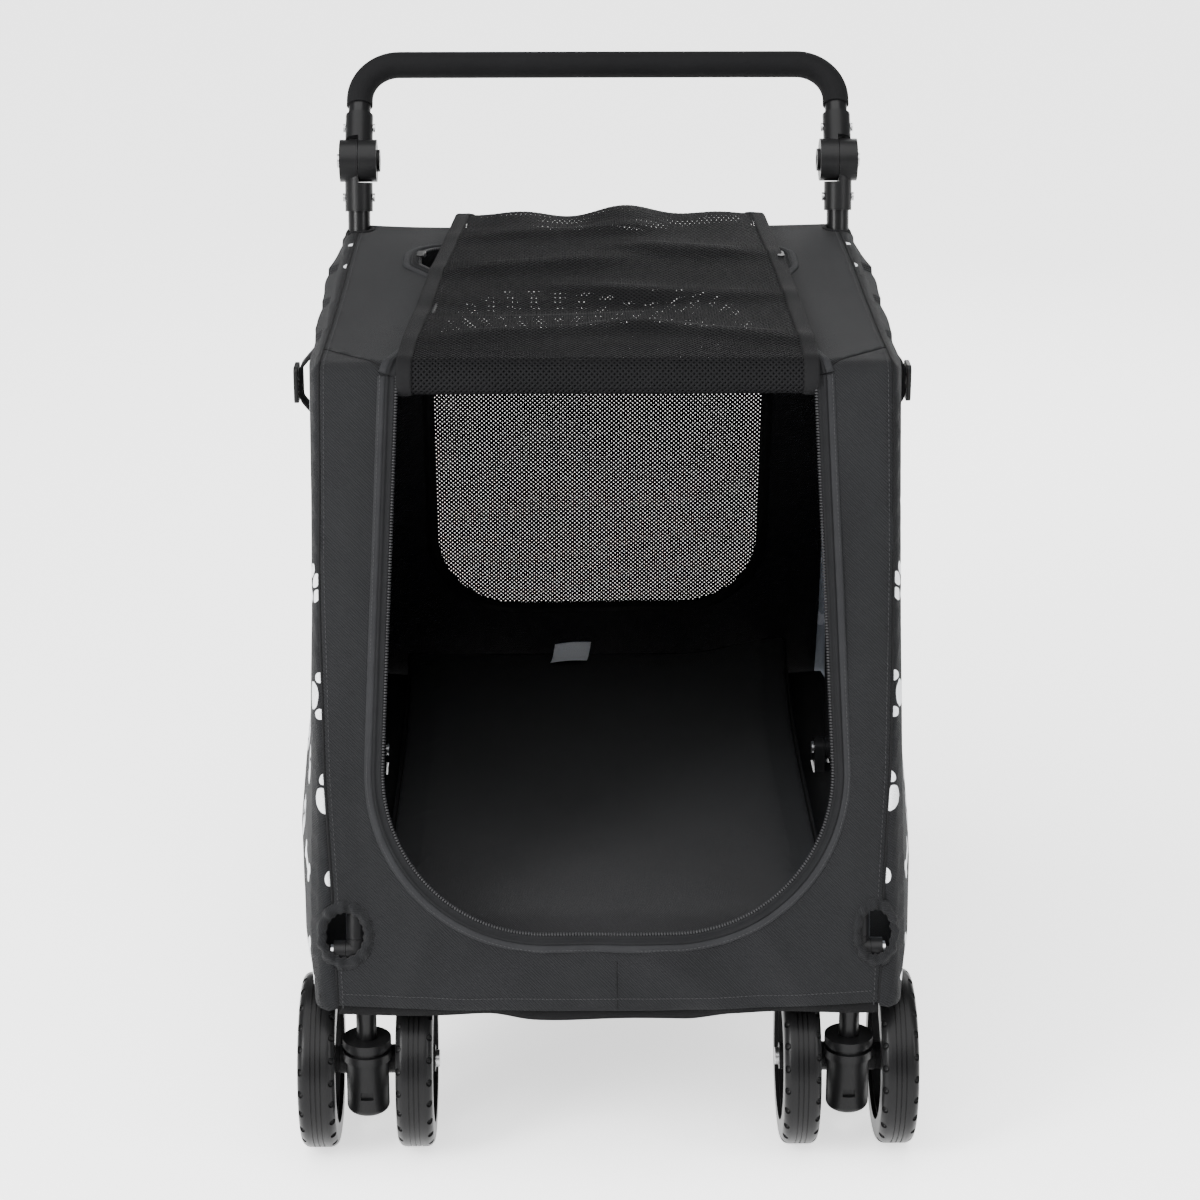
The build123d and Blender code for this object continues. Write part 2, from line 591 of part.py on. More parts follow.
def knuckle_bolts():
    def bolt(side):
        outer = side * (UPRIGHT_X + KNUCKLE_W / 2 + SEAT)
        tip = side * (UPRIGHT_X - KNUCKLE_W / 2 + BUTTON_T + BUTTON_PROUD)
        head = outer + side * BOLT_HEAD_T
        return cross_bar(KNUCKLE_Y, KNUCKLE_Z, tip, outer, BOLT_D) + cross_bar(
            KNUCKLE_Y, KNUCKLE_Z, outer, head, BOLT_HEAD_D
        )

    return pair(bolt)


def upright_rivets():
    return rivets(-UP)


# Handle
HANDLE_UP = Vector(0, sin(BACK), cos(BACK))
HANDLE_PLANE = Plane((0, KNUCKLE_Y, KNUCKLE_Z), x_dir=(1, 0, 0), z_dir=(0, -cos(BACK), sin(BACK)))


def handle_path(start):
    """Corner points of the handle's U, from one leg to the other."""
    return [(-UPRIGHT_X, start), (-UPRIGHT_X, HANDLE_REACH), (UPRIGHT_X, HANDLE_REACH), (UPRIGHT_X, start)]


def handle_bar():
    tube = bent_tube(HANDLE_PLANE, handle_path(KNUCKLE_END), HANDLE_BEND_R, UPRIGHT_D, TUBE_WALL)
    for side in SIDES.values():
        tube -= rivet_hole(side, HANDLE_UP)
    return tube


def handle_rivets():
    return rivets(HANDLE_UP)


def handle_grip():
    start = HANDLE_REACH - HANDLE_BEND_R - GRIP_LEG
    outer = UPRIGHT_D + 2 * SOCKET + 2 * GRIP_WALL
    return bent_tube(HANDLE_PLANE, handle_path(start), HANDLE_BEND_R, outer, GRIP_WALL)


def knuckle_caps():
    """Inner halves, fixed to the handle, with a pocket for the push button."""
    def cap(side):
        piece = knuckle_half(side, -side, HANDLE_UP)
        x = side * UPRIGHT_X
        face = x - side * KNUCKLE_W / 2
        piece -= cross_bar(KNUCKLE_Y, KNUCKLE_Z, face - side, x + side * KNUCKLE_W, BOLT_D + 2 * RUN)
        floor = face + side * (BUTTON_T + BUTTON_PROUD)
        return piece - cross_bar(KNUCKLE_Y, KNUCKLE_Z, face - side, floor, BUTTON_D + 2 * RUN)

    return pair(cap)


def knuckle_button(side):
    face = side * (UPRIGHT_X - KNUCKLE_W / 2 - BUTTON_PROUD)
    button = cross_bar(KNUCKLE_Y, KNUCKLE_Z, face, face + side * BUTTON_T, BUTTON_D)
    dish = cross_bar(KNUCKLE_Y, KNUCKLE_Z, face, face + side * BUTTON_PROUD / 3, BUTTON_D / 2)
    return button - dish


# Floor
def floor_board():
    return block(-BOARD_HALF, BOARD_HALF, CROSS_Y, REAR_CROSS_Y, BOARD_Z, BOARD_Z + BOARD_T)


def cushion_outline(inset, z):
    """Oblong whose sides pull in between its corners."""
    x = BOARD_HALF - SEAT - inset
    y_from, y_to = CROSS_Y + TUBE_D + inset, REAR_CROSS_Y - inset
    middle = (y_from + y_to) / 2
    draw = CUSHION_DRAW
    return Pos(0, 0, z) * make_face(
        [
            ThreePointArc((-x, y_from), (0, y_from + draw), (x, y_from)),
            ThreePointArc((x, y_from), (x - draw, middle), (x, y_to)),
            ThreePointArc((x, y_to), (0, y_to - draw), (-x, y_to)),
            ThreePointArc((-x, y_to), (-x + draw, middle), (-x, y_from)),
        ]
    )


def floor_cushion():
    """Padded mat, fullest at half its edge's height, with a crowned top."""
    edge, top = CUSHION_Z + CUSHION_EDGE_T, CUSHION_Z + CUSHION_T
    stations = [
        (CUSHION_INSET, CUSHION_Z),
        (0.0, CUSHION_Z + CUSHION_EDGE_T / 2),
        (CUSHION_INSET, edge),
        (CUSHION_INSET + CUSHION_ROUND, (edge + 2 * top) / 3),
        (CUSHION_INSET + 3 * CUSHION_ROUND, top),
    ]
    return loft([cushion_outline(inset, z) for inset, z in stations], ruled=True)


def care_tag():
    y = REAR_CROSS_Y - 4 * CUSHION_ROUND
    z = CUSHION_Z + CUSHION_T + SEAT
    return block(TAG_X - TAG_W / 2, TAG_X + TAG_W / 2, y - TAG_L, y, z, z + TAG_T)


# Cabin fabric
def doorway(grow):
    """U outline of the doorway in the front panel's plane, open at the top, grown all round."""
    sill, top = DOOR_SILL - grow, PANEL_TALL + DOOR_R
    wide, narrow = DOOR_HALF + grow, DOOR_TOP_HALF + grow
    outline = Polygon((-wide, sill), (wide, sill), (narrow, top), (-narrow, top), align=None)
    return fillet(outline.vertices().group_by(Axis.Y)[0], DOOR_R + grow)


def front_panel():
    tall = PANEL_TALL - SEAT
    sheet = Pos(0, tall / 2) * Rectangle(2 * CABIN_HALF, tall) - doorway(0.0)
    hole_x = HOOP_X + LUG_T - SEAT
    hole_y = PIVOT_RUN + HOLE_RISE
    for side in SIDES.values():
        sheet -= Pos(side * hole_x, hole_y) * Ellipse(HOLE_W / 2, HOLE_H / 2)
    return extrude(FRONT * sheet, -FABRIC)


def front_zip():
    tape = (doorway(ZIP_W) - doorway(0.0)) & Pos(0, PANEL_TALL / 2) * Rectangle(2 * CABIN_HALF, PANEL_TALL)
    return extrude(FRONT * tape, ZIP_T)


def roof_line(depth):
    """Points of the roof's side profile at a depth below its outer face: bend start, middle, end, back."""
    start_y = front_y(HEM_Z + PANEL_TALL * cos(LEAN))
    start_z = HEM_Z + PANEL_TALL * cos(LEAN)
    hub_y = start_y + ROOF_BEND_R * cos(LEAN)
    hub_z = start_z - ROOF_BEND_R * sin(LEAN)
    r = ROOF_BEND_R - depth
    points = []
    for part in (0.0, 0.5, 1.0):
        turn = LEAN + part * ROOF_TURN
        points.append((hub_y - r * cos(turn), hub_z + r * sin(turn)))
    end_y, end_z = points[-1]
    run = (rear_y(ROOF_REAR_Z, FABRIC + SEAT) - end_y) / cos(ROOF_PITCH)
    points.append((end_y + run * cos(ROOF_PITCH), end_z + run * sin(ROOF_PITCH)))
    return points


def roof_panel():
    """Bend over the hoop and flat run back to the uprights, open where the mesh door was."""
    start, middle, end, back = roof_line(0.0)
    start_in, middle_in, end_in, back_in = roof_line(FABRIC)
    profile = make_face(
        [
            ThreePointArc(start, middle, end),
            Line(end, back),
            Line(back, back_in),
            Line(back_in, end_in),
            ThreePointArc(end_in, middle_in, start_in),
            Line(start_in, start),
        ]
    )
    panel = extrude(Plane.YZ * profile, INNER_HALF, both=True)
    open_to = ROOF_REAR_Y - ROOF_BAND
    panel -= block(-DOOR_TOP_HALF, DOOR_TOP_HALF, 2 * CORNER_Y, open_to, HEM_Z, 2 * CORNER_Z)
    for side in SIDES.values():
        pivot = Vector(side * UPRIGHT_X, UPRIGHT_FOOT_Y, PIVOT_Z)
        panel -= bar(pivot, pivot + UP * UPRIGHT_LENGTH, UPRIGHT_D + 2 * SLEEVE_WALL)
    return Compound(children=[max(panel.solids(), key=lambda solid: solid.volume)])


def side_stations():
    """Height, front edge and swell of the side panel, from the hem to the back of the roof."""
    for height, swell in SIDE_SWELL:
        yield HEM_Z + height, front_y(HEM_Z + height, FABRIC + SEAT), swell
    start, middle, end, back = roof_line(0.0)
    yield start[1], front_y(start[1], FABRIC + SEAT), TOP_SWELL
    for y, z in (middle, end):
        yield z, y + SEAT, TOP_SWELL
    part = 1 - UPRIGHT_D / (back[0] - end[0])
    yield end[1] + part * (back[1] - end[1]), end[0] + part * (back[0] - end[0]), TOP_SWELL / 2


def side_panel(side):
    """Sheet that swells outwards low down, cut to the cabin's side profile."""
    sections = []
    for z, y_from, swell in side_stations():
        y_to = rear_y(z)
        outer, inner = side * CABIN_HALF, side * (CABIN_HALF - FABRIC)
        middle = (y_from + y_to) / 2
        bow = side * swell
        sections.append(
            Pos(0, 0, z)
            * make_face(
                [
                    ThreePointArc((outer, y_from), (outer + bow, middle), (outer, y_to)),
                    Line((outer, y_to), (inner, y_to)),
                    ThreePointArc((inner, y_to), (inner + bow, middle), (inner, y_from)),
                    Line((inner, y_from), (outer, y_from)),
                ]
            )
        )
    return loft(sections, ruled=True)


def window_outline(inset):
    return Pos(0, WINDOW_FOOT + WINDOW_TALL / 2) * RectangleRounded(
        2 * (WINDOW_HALF - inset), WINDOW_TALL - 2 * inset, WINDOW_R - inset
    )


def rear_panel():
    sheet = Pos(0, REAR_TALL / 2) * Rectangle(2 * INNER_HALF, REAR_TALL) - window_outline(0.0)
    return extrude(REAR * sheet, -FABRIC)


def rear_window_mesh():
    """Flat net in the rear panel's window: one sheet with staggered diamond gaps."""
    columns = int(2 * WINDOW_HALF / NET_PITCH_X) - 1
    rows = int(WINDOW_TALL / NET_PITCH_Y) - 1
    rim_half = WINDOW_HALF - NET_PITCH_X
    rim_tall = WINDOW_TALL / 2 - NET_PITCH_Y
    gap = Polygon(
        (-(NET_PITCH_X - NET_THREAD) / 2, 0),
        (0, -(2 * NET_PITCH_Y - NET_THREAD) / 2),
        ((NET_PITCH_X - NET_THREAD) / 2, 0),
        (0, (2 * NET_PITCH_Y - NET_THREAD) / 2),
        align=None,
    )
    gaps = []
    for row in range(rows):
        shift = 0.5 * (row % 2)
        for column in range(columns + 1):
            x = (column - columns / 2 + shift - 0.25) * NET_PITCH_X
            y = (row - (rows - 1) / 2) * NET_PITCH_Y
            past_x = max(abs(x) - (rim_half - WINDOW_R), 0)
            past_y = max(abs(y) - (rim_tall - WINDOW_R), 0)
            if hypot(past_x, past_y) < WINDOW_R:
                gaps.append(Pos(x, WINDOW_FOOT + WINDOW_TALL / 2 + y) * gap)
    sheet = window_outline(SEAT) - gaps
    return extrude(REAR.offset(-(FABRIC - NET_T) / 2) * sheet, -NET_T)


def mesh_door():
    """Door net thrown back over the roof opening, in slack folds from side to side."""
    end_y, end_z = roof_line(0.0)[2]
    last_y = ROOF_REAR_Y - ROOF_BAND - SEAT
    steps = len(DOOR_FOLD_WAVES) - 1
    sections = []
    for i, wave in enumerate(DOOR_FOLD_WAVES):
        y = end_y + (last_y - end_y) * i / steps
        z = end_z + (y - end_y) * tan(ROOF_PITCH)
        half = DOOR_TOP_HALF - SEAT - DOOR_FOLD_IN * i / steps
        crown = z + wave
        sections.append(
            Plane((0, y, 0), x_dir=(1, 0, 0), z_dir=(0, -1, 0))
            * make_face(
                [
                    ThreePointArc((-half, z), (0, crown), (half, z)),
                    Line((half, z), (half, z - DOOR_FOLD_T)),
                    ThreePointArc((half, z - DOOR_FOLD_T), (0, crown - DOOR_FOLD_T), (-half, z - DOOR_FOLD_T)),
                    Line((-half, z - DOOR_FOLD_T), (-half, z)),
                ]
            )
        )
    return loft(sections, ruled=True)


# Side straps
def strap_base_x():
    """Where a strap meets the side panel: just outside the panel's fullest line at that height."""
    return CABIN_HALF + max(TOP_SWELL, SIDE_SWELL[-1][1]) + SEAT


def side_straps():
    """Webbing loops that stand out of the side panels."""
    base = strap_base_x() + STRAP_T / 2
    out = base + STRAP_OUT
    low_z = STRAP_TOP_Z - STRAP_DROP

    def strap(side):
        path = Polyline(
            (side * base, STRAP_TOP_Z + STRAP_W),
            (side * base, STRAP_TOP_Z),
            (side * out, STRAP_TOP_Z - STRAP_DROP / 4),
            (side * out, STRAP_TOP_Z - 3 * STRAP_DROP / 4),
            (side * base, low_z),
            (side * base, low_z - STRAP_W),
        )
        web = Plane.XZ.offset(-STRAP_Y) * trace(path, STRAP_T)
        return extrude(web, STRAP_W / 2, both=True)

    return pair(strap)


def strap_buckles():
    """Ladder locks: flat frames with a middle bar, against the straps' outer runs."""
    inner = strap_base_x() + STRAP_OUT + STRAP_T + SEAT
    z = STRAP_TOP_Z - STRAP_DROP / 2

    def buckle(side):
        plate = Plane.YZ * (Pos(STRAP_Y, z) * RectangleRounded(BUCKLE_W, BUCKLE_H, BUCKLE_BAR))
        slot_h = (BUCKLE_H - 3 * BUCKLE_BAR) / 2
        for way in (-1, 1):
            slot_z = z + way * (slot_h + BUCKLE_BAR) / 2
            plate -= Plane.YZ * (Pos(STRAP_Y, slot_z) * Rectangle(BUCKLE_W - 2 * BUCKLE_BAR, slot_h))
        piece = Pos(inner, 0, 0) * extrude(plate, BUCKLE_T)
        return piece if side > 0 else mirror(piece, about=Plane.YZ)

    return pair(buckle)


# Assembly
def wheel_places():
    """Node stem and hub position of every wheel."""
    twin = (TWIN_GAP + TYRE_W) / 2
    for name, side in SIDES.items():
        yield f"{name}_outer", (side * (CASTER_X + twin), WHEEL_Y, AXLE_Z)
        yield f"{name}_inner", (side * (CASTER_X - twin), WHEEL_Y, AXLE_Z)
        yield f"{name}_rear", (side * REAR_WHEEL_X, REAR_AXLE_Y, AXLE_Z)


def all_parts():
    parts = {}
    singles = [
        front_cross_tube, tube_caps, mid_cross_tube, rear_cross_tube, upright_lugs, pivot_pins, caster_stems,
        rear_axle, front_hoop_tube, hoop_feet, upright_feet, knuckle_bases, knuckle_bolts, upright_rivets,
        handle_bar, handle_rivets, handle_grip, knuckle_caps, floor_board, floor_cushion, care_tag,
        front_panel, front_zip, roof_panel, rear_panel, rear_window_mesh, mesh_door, side_straps, strap_buckles,
    ]
    sided = [
        base_rail, front_corner, rear_leg, brake_pedal, caster_axle, caster_housing, upright, knuckle_button,
        side_panel,
    ]
    for make in singles:
        parts[make.__name__] = make()
    for make in sided:
        for name, side in SIDES.items():
            parts[f"{name}_{make.__name__}"] = make(side)
    one_tyre, one_rim = tyre(), rim()
    for stem, place in wheel_places():
        parts[f"{stem}_tyre"] = Pos(*place) * one_tyre
        parts[f"{stem}_rim"] = Pos(*place) * one_rim
    return parts


os.makedirs("parts", exist_ok=True)
for name, shape in all_parts().items():
    export_step(shape, f"parts/{name}.step")
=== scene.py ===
from math import atan2, ceil, cos, exp, floor, hypot, pi, radians, sin, sqrt, tan

import bpy
import numpy as np
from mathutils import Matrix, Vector
from mathutils.geometry import delaunay_2d_cdt


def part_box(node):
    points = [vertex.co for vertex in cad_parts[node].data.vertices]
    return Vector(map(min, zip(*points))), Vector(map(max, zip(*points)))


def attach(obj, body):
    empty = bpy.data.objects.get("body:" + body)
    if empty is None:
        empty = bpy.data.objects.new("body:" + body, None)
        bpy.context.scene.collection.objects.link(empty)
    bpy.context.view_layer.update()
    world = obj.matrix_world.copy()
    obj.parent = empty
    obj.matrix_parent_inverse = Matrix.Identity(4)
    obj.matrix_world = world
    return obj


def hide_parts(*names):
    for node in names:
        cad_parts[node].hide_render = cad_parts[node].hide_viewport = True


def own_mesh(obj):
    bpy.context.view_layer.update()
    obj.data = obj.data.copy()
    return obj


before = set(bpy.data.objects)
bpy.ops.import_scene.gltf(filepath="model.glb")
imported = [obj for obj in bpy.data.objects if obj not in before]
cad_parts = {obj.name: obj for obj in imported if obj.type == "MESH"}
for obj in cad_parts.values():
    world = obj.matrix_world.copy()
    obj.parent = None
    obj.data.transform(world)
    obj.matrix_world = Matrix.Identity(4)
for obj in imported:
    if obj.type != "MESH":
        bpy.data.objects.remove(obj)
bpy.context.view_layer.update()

# Pet stroller. Metres. +X is to the right when facing the doorway, -Y is the front, +Z is up.

SIDES = ((-1, "left"), (1, "right"))

# Camera of the reference view
CAMERA_PLACE = (-0.0478, -3.1336, 1.5516)
CAMERA_LENS = 88.3
CAMERA_SENSOR = 36.0
CAMERA_DOWN = radians(19.04)
CAMERA_RIGHT = radians(0.83)

# Cabin, read from the frame
PANEL_LOW, PANEL_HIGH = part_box("front_panel")
REAR_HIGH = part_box("rear_panel")[1]
ROOF_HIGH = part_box("roof_panel")[1]
FRONT_LEAN = radians(16.8)
CAD_CLOTH = 0.003
CABIN_HALF = PANEL_HIGH.x
FOOT_Y = PANEL_LOW.y
HEM_Z = PANEL_LOW.z + CAD_CLOTH * sin(FRONT_LEAN)
REAR_FOOT_Y = REAR_HIGH.y
ROOF_REAR_Z = REAR_HIGH.z
CORNER_Z = ROOF_REAR_Z - 0.030
CORNER_Y = FOOT_Y + (CORNER_Z - HEM_Z) * tan(FRONT_LEAN)
ROOF_REAR_Y = ROOF_HIGH.y + CAD_CLOTH
BEND_R = 0.016  # where the roof's cloth turns over the hoop
REAR_BEND_R = 0.020
EDGE_R = 0.014  # where front, roof and rear turn into the sides
EDGE_FLAT = CABIN_HALF - EDGE_R
EDGE_TURN = EDGE_R * pi / 2
CLOTH = 0.0014

# Cut of the panels
SEAM_HALF = 0.289  # half width of the cloth at the hoop
HEM_HALF = 0.27
HEM_SAG = 0.007
HEM_LIFT = 0.003  # at the corners
HEM_FACING = 0.0125  # how far the black facing hangs below the front's lower line
HEM_FACING_ENDS = 0.0068  # the same over the casters, clear of the tyres when they swivel
FRONT_DIP = -0.0028  # the front's folds go no deeper, where the cross tube lies behind them
DOOR_HALF = 0.237
DOOR_TOP_HALF = 0.213
DOOR_SILL = 0.072
DOOR_R = 0.165
ROOF_BAND = 0.104
ROOF_CORNER_R = 0.045
SEAM_SLANT = 0.064  # how much further back the roof's front seam lies at the sides
HOLE_T = 0.0746
HOLE_HALF_H = 0.025
HOLES = {-1: (0.2666, 0.021), 1: (0.2710, 0.017)}  # middle and half width of each corner hole
WINDOW_HALF = 0.203
WINDOW_FOOT = 0.132
WINDOW_TALL = 0.455
WINDOW_R = 0.100
SIDE_SWELL = (  # height over the hem and how far the side stands out there
    (0.0, 0.006), (0.045, 0.028), (0.110, 0.030), (0.230, 0.016), (0.370, 0.010), (0.640, 0.009),
)
GRID = 0.008  # spacing of the points inside a cloth sheet
EDGE_STEP = 0.007  # and along the edge of an opening

# Net
NET_PITCH = 0.0057
NET_THREAD = 0.0031
NET_THICK = 0.0007


class RoundedPath:
    """Straight runs joined by tangent arcs, measured by length from the start."""

    def __init__(self, points, radii):
        self.pieces = []
        corners = [Vector(p) for p in points]
        here = corners[0]
        for before, corner, after, radius in zip(corners, corners[1:], corners[2:], radii):
            way_in = (corner - before).normalized()
            way_out = (after - corner).normalized()
            turn = atan2(way_in.x * way_out.y - way_in.y * way_out.x, way_in.dot(way_out))
            cut = radius * tan(abs(turn) / 2)
            start = corner - way_in * cut
            heading = atan2(way_in.y, way_in.x)
            self.pieces.append(((start - here).length, here, heading, 0.0))
            self.pieces.append((radius * abs(turn), start, heading, turn))
            here = corner + way_out * cut
        last = corners[-1] - here
        self.pieces.append((last.length, here, atan2(last.y, last.x), 0.0))
        self.length = sum(piece[0] for piece in self.pieces)

    def start_of(self, index):
        """Length at which a piece starts: runs are 0, 2, 4, and arcs are 1, 3, 5."""
        return sum(piece[0] for piece in self.pieces[:index])

    def at(self, t):
        """Point and heading at a length. Past either end the path runs straight on."""
        for index, (length, start, heading, turn) in enumerate(self.pieces):
            if t <= length or index == len(self.pieces) - 1:
                break
            t -= length
        if not turn:
            return start + Vector((cos(heading), sin(heading))) * t, heading
        bend = turn * t / length
        chord = 2 * length / turn * sin(bend / 2)
        middle = heading + bend / 2
        return start + Vector((cos(middle), sin(middle))) * chord, heading + bend

    def route(self, step):
        """Points and headings at even steps."""
        count = max(2, ceil(self.length / step))
        return [self.at(self.length * i / count) for i in range(count + 1)]

    def points(self, step):
        return [tuple(point) for point, _ in self.route(step)]


# Side view of the cabin: up the front, over the hoop, along the roof and down the rear
CABIN = RoundedPath(
    [(FOOT_Y, HEM_Z), (CORNER_Y, CORNER_Z), (ROOF_REAR_Y, ROOF_REAR_Z), (REAR_FOOT_Y, HEM_Z)],
    [BEND_R, REAR_BEND_R],
)
BEND_T = CABIN.start_of(1)
ROOF_T = CABIN.start_of(2)
ROOF_END_T = CABIN.start_of(3)
REAR_T = CABIN.start_of(4)
REAR_PITCH = atan2(REAR_FOOT_Y - ROOF_REAR_Y, ROOF_REAR_Z - HEM_Z)
OPEN_T = ROOF_END_T - ROOF_BAND
DOOR_TOP_T = BEND_T - 0.002  # the doorway ends just below the hoop


def mix(a, b, share):
    return a + (b - a) * share


def ramp(x, low, high):
    """Smooth step from 0 at low to 1 at high."""
    share = min(1.0, max(0.0, (x - low) / (high - low)))
    return share * share * (3 - 2 * share)


def broken_line(stops, x):
    """Value at x on straight lines between (x, value) stops."""
    return float(np.interp(x, [stop[0] for stop in stops], [stop[1] for stop in stops]))


SEAM_STOPS = (
    (0.0, 0.274), (0.12, 0.279), (0.24, 0.286), (0.45, 0.290), (BEND_T, SEAM_HALF),
    (ROOF_T + 0.2, 0.284), (ROOF_END_T, 0.280), (REAR_T, 0.280), (CABIN.length, 0.284),
)


def seam_half(t):
    """Half width, along the cloth, of the plain panels between the two printed sides."""
    return broken_line(SEAM_STOPS, t)


def shell(u, t, out=0.0):
    """Point of the cabin's skin: u across the cloth, t along the side view, out away from the cloth."""
    (y, z), heading = CABIN.at(t)
    side = 1.0 if u >= 0 else -1.0
    past = abs(u) - EDGE_FLAT
    turn = min(max(past, 0.0) / EDGE_R, pi / 2)
    x = abs(u) if past <= 0 else EDGE_FLAT + EDGE_R * sin(turn)
    drop = EDGE_R * (1 - cos(turn)) + max(0.0, past - EDGE_TURN)
    x += out * sin(turn)
    rise = out * cos(turn) - drop
    return Vector((side * x, y - sin(heading) * rise, z + cos(heading) * rise))


def crease(x, y, start, end, width, height):
    """Height of a soft fold that runs from one point of a cloth to another and dies out at both ends."""
    ax, ay = start
    dx, dy = end[0] - ax, end[1] - ay
    reach = dx * dx + dy * dy
    share = ((x - ax) * dx + (y - ay) * dy) / reach
    off = ((x - ax) * dy - (y - ay) * dx) / sqrt(reach) / width
    if not -0.3 < share < 1.3 or abs(off) > 3:
        return 0.0
    return height * exp(-off * off) * ramp(share, -0.3, 0.3) * (1 - ramp(share, 0.7, 1.3))


# Mesh helpers
def array_of(points):
    return np.array([tuple(p) for p in points])


def inside(points, loop):
    """Whether each point lies inside a closed loop."""
    result = np.zeros(len(points), bool)
    for (ax, ay), (bx, by) in zip(loop, np.roll(loop, -1, axis=0)):
        crosses = (ay > points[:, 1]) != (by > points[:, 1])
        with np.errstate(divide="ignore", invalid="ignore"):
            at_x = ax + (points[:, 1] - ay) * (bx - ax) / (by - ay)
        result ^= crosses & (points[:, 0] < at_x)
    return result


def nearest(points, others):
    """Distance from each point to the closest of the others, and which one that is."""
    distance = np.empty(len(points))
    index = np.empty(len(points), int)
    for start in range(0, len(points), 2000):
        part = points[start:start + 2000]
        gaps = np.linalg.norm(part[:, None, :] - others[None, :, :], axis=2)
        index[start:start + 2000] = gaps.argmin(1)
        distance[start:start + 2000] = gaps.min(1)
    return distance, index


def add_object(name, data):
    made = bpy.data.objects.new(name, data)
    bpy.context.scene.collection.objects.link(made)
    return made


def new_piece(name, verts, faces, uvs=None):
    """Smooth mesh object, with a flat cloth map in metres where uvs are given."""
    mesh = bpy.data.meshes.new(name)
    mesh.from_pydata([tuple(v) for v in verts], [], faces)
    mesh.polygons.foreach_set("use_smooth", [True] * len(mesh.polygons))
    if uvs is not None:
        layer = mesh.uv_layers.new(name="cloth")
        corner = np.empty(len(mesh.loops), int)
        mesh.loops.foreach_get("vertex_index", corner)
        layer.data.foreach_set("uv", np.asarray(uvs, np.float32)[corner].ravel())
    mesh.update()
    return add_object(name, mesh)


def paint(piece, *materials):
    piece.data.materials.clear()
    for material in materials:
        piece.data.materials.append(material)
    return piece


def thicken(piece, thickness):
    solid = piece.modifiers.new("thickness", "SOLIDIFY")
    solid.thickness = thickness
    solid.offset = -1.0
    return piece


def flat_triangles(outline, cuts, spacing):
    """Triangles of a flat cut of cloth: its points in two dimensions and its faces."""
    points, edges = [], []
    for loop in (outline, *cuts):
        first, count = len(points), len(loop)
        points += [Vector(p) for p in loop]
        edges += [(first + i, first + (i + 1) % count) for i in range(count)]
    border, outer = array_of(points), array_of(outline)
    low, high = border.min(0), border.max(0)
    row_step = spacing * sqrt(3) / 2
    rows = int((high[1] - low[1]) / row_step)
    columns = int((high[0] - low[0]) / spacing) + 1
    grid = np.array([
        (low[0] + (column + 0.5 * (row % 2)) * spacing, low[1] + row * row_step)
        for row in range(rows + 1) for column in range(columns + 1)
    ])
    grid = grid[inside(grid, outer)]
    grid = grid[nearest(grid, border)[0] > 0.55 * spacing]
    points += [Vector(p) for p in grid]
    verts, _, faces, *_ = delaunay_2d_cdt(points, edges, [], 0, 1e-6)
    flat = array_of(verts)
    middles = np.array([flat[list(face)].mean(0) for face in faces])
    keep = inside(middles, outer)
    for cut in cuts:
        keep &= ~inside(middles, array_of(cut))
    faces = [face for face, kept in zip(faces, keep) if kept]
    used = sorted({corner for face in faces for corner in face})
    place = {old: new for new, old in enumerate(used)}
    return flat[used], [tuple(place[corner] for corner in face) for face in faces]


def cloth(name, outline, cuts, place, spacing=GRID):
    """Cloth sheet cut flat and then set in place by a function of its flat coordinates."""
    flat, faces = flat_triangles(outline, cuts, spacing)
    return new_piece(name, [place(x, y) for x, y in flat], faces, flat)


def grid_faces(rows, columns, wrap_rows=False, wrap_columns=False, first=0):
    """Quads between the points of a grid that is stored row by row, from a first point on."""
    faces = []
    for i in range(rows if wrap_rows else rows - 1):
        here, ahead = first + i * columns, first + (i + 1) % rows * columns
        for j in range(columns if wrap_columns else columns - 1):
            k = (j + 1) % columns
            faces.append((here + j, here + k, ahead + k, ahead + j))
    return faces


def prism_faces(rows, columns, first):
    """Faces of a prism of closed rows, with a cap at each end."""
    last = first + (rows - 1) * columns
    caps = [tuple(range(first, first + columns))[::-1], tuple(range(last, last + columns))]
    return grid_faces(rows, columns, False, True, first) + caps


def sweep(name, frames, section, closed=False):
    """Skin along frames of (point, across, out) with a closed section of (across, out) offsets."""
    verts, uvs = [], []
    count, wide = len(frames), len(section)
    run = 0.0
    for index, (point, across, out) in enumerate(frames):
        if index:
            run += (point - frames[index - 1][0]).length
        for a, o in section:
            verts.append(point + across * a + out * o)
            uvs.append((a, run))
    faces = grid_faces(count, wide, True, True) if closed else prism_faces(count, wide, 0)
    return new_piece(name, verts, faces, uvs)


def skin_frames(route, place, eps=0.0005):
    """Frames for sweep() along a flat route of (point, heading) on a cloth."""
    frames = []
    for (u, t), heading in route:
        here = place(u, t, 0.0)
        left = place(u - sin(heading) * eps, t + cos(heading) * eps, 0.0) - here
        frames.append((here, left.normalized(), (place(u, t, eps) - here).normalized()))
    return frames


def oval_loop(cx, cy, rx, ry, count=40):
    turns = [2 * pi * i / count for i in range(count)]
    return [(cx + rx * cos(turn), cy + ry * sin(turn)) for turn in turns]


def ring_section(radius, squeeze=1.0):
    return oval_loop(0.0, 0.0, radius, radius * squeeze, 8)


def mirrored(route):
    """A flat route on the other side of the middle, run through backwards."""
    return [(-u, t) for u, t in reversed(route)]


def raised(place, lift):
    """A cloth's place function, lifted off the cloth."""
    return lambda u, t, out=0.0: place(u, t, out + lift)


def rounded_edges(piece, width):
    bevel = piece.modifiers.new("rounded", "BEVEL")
    bevel.width = width
    bevel.segments = 2


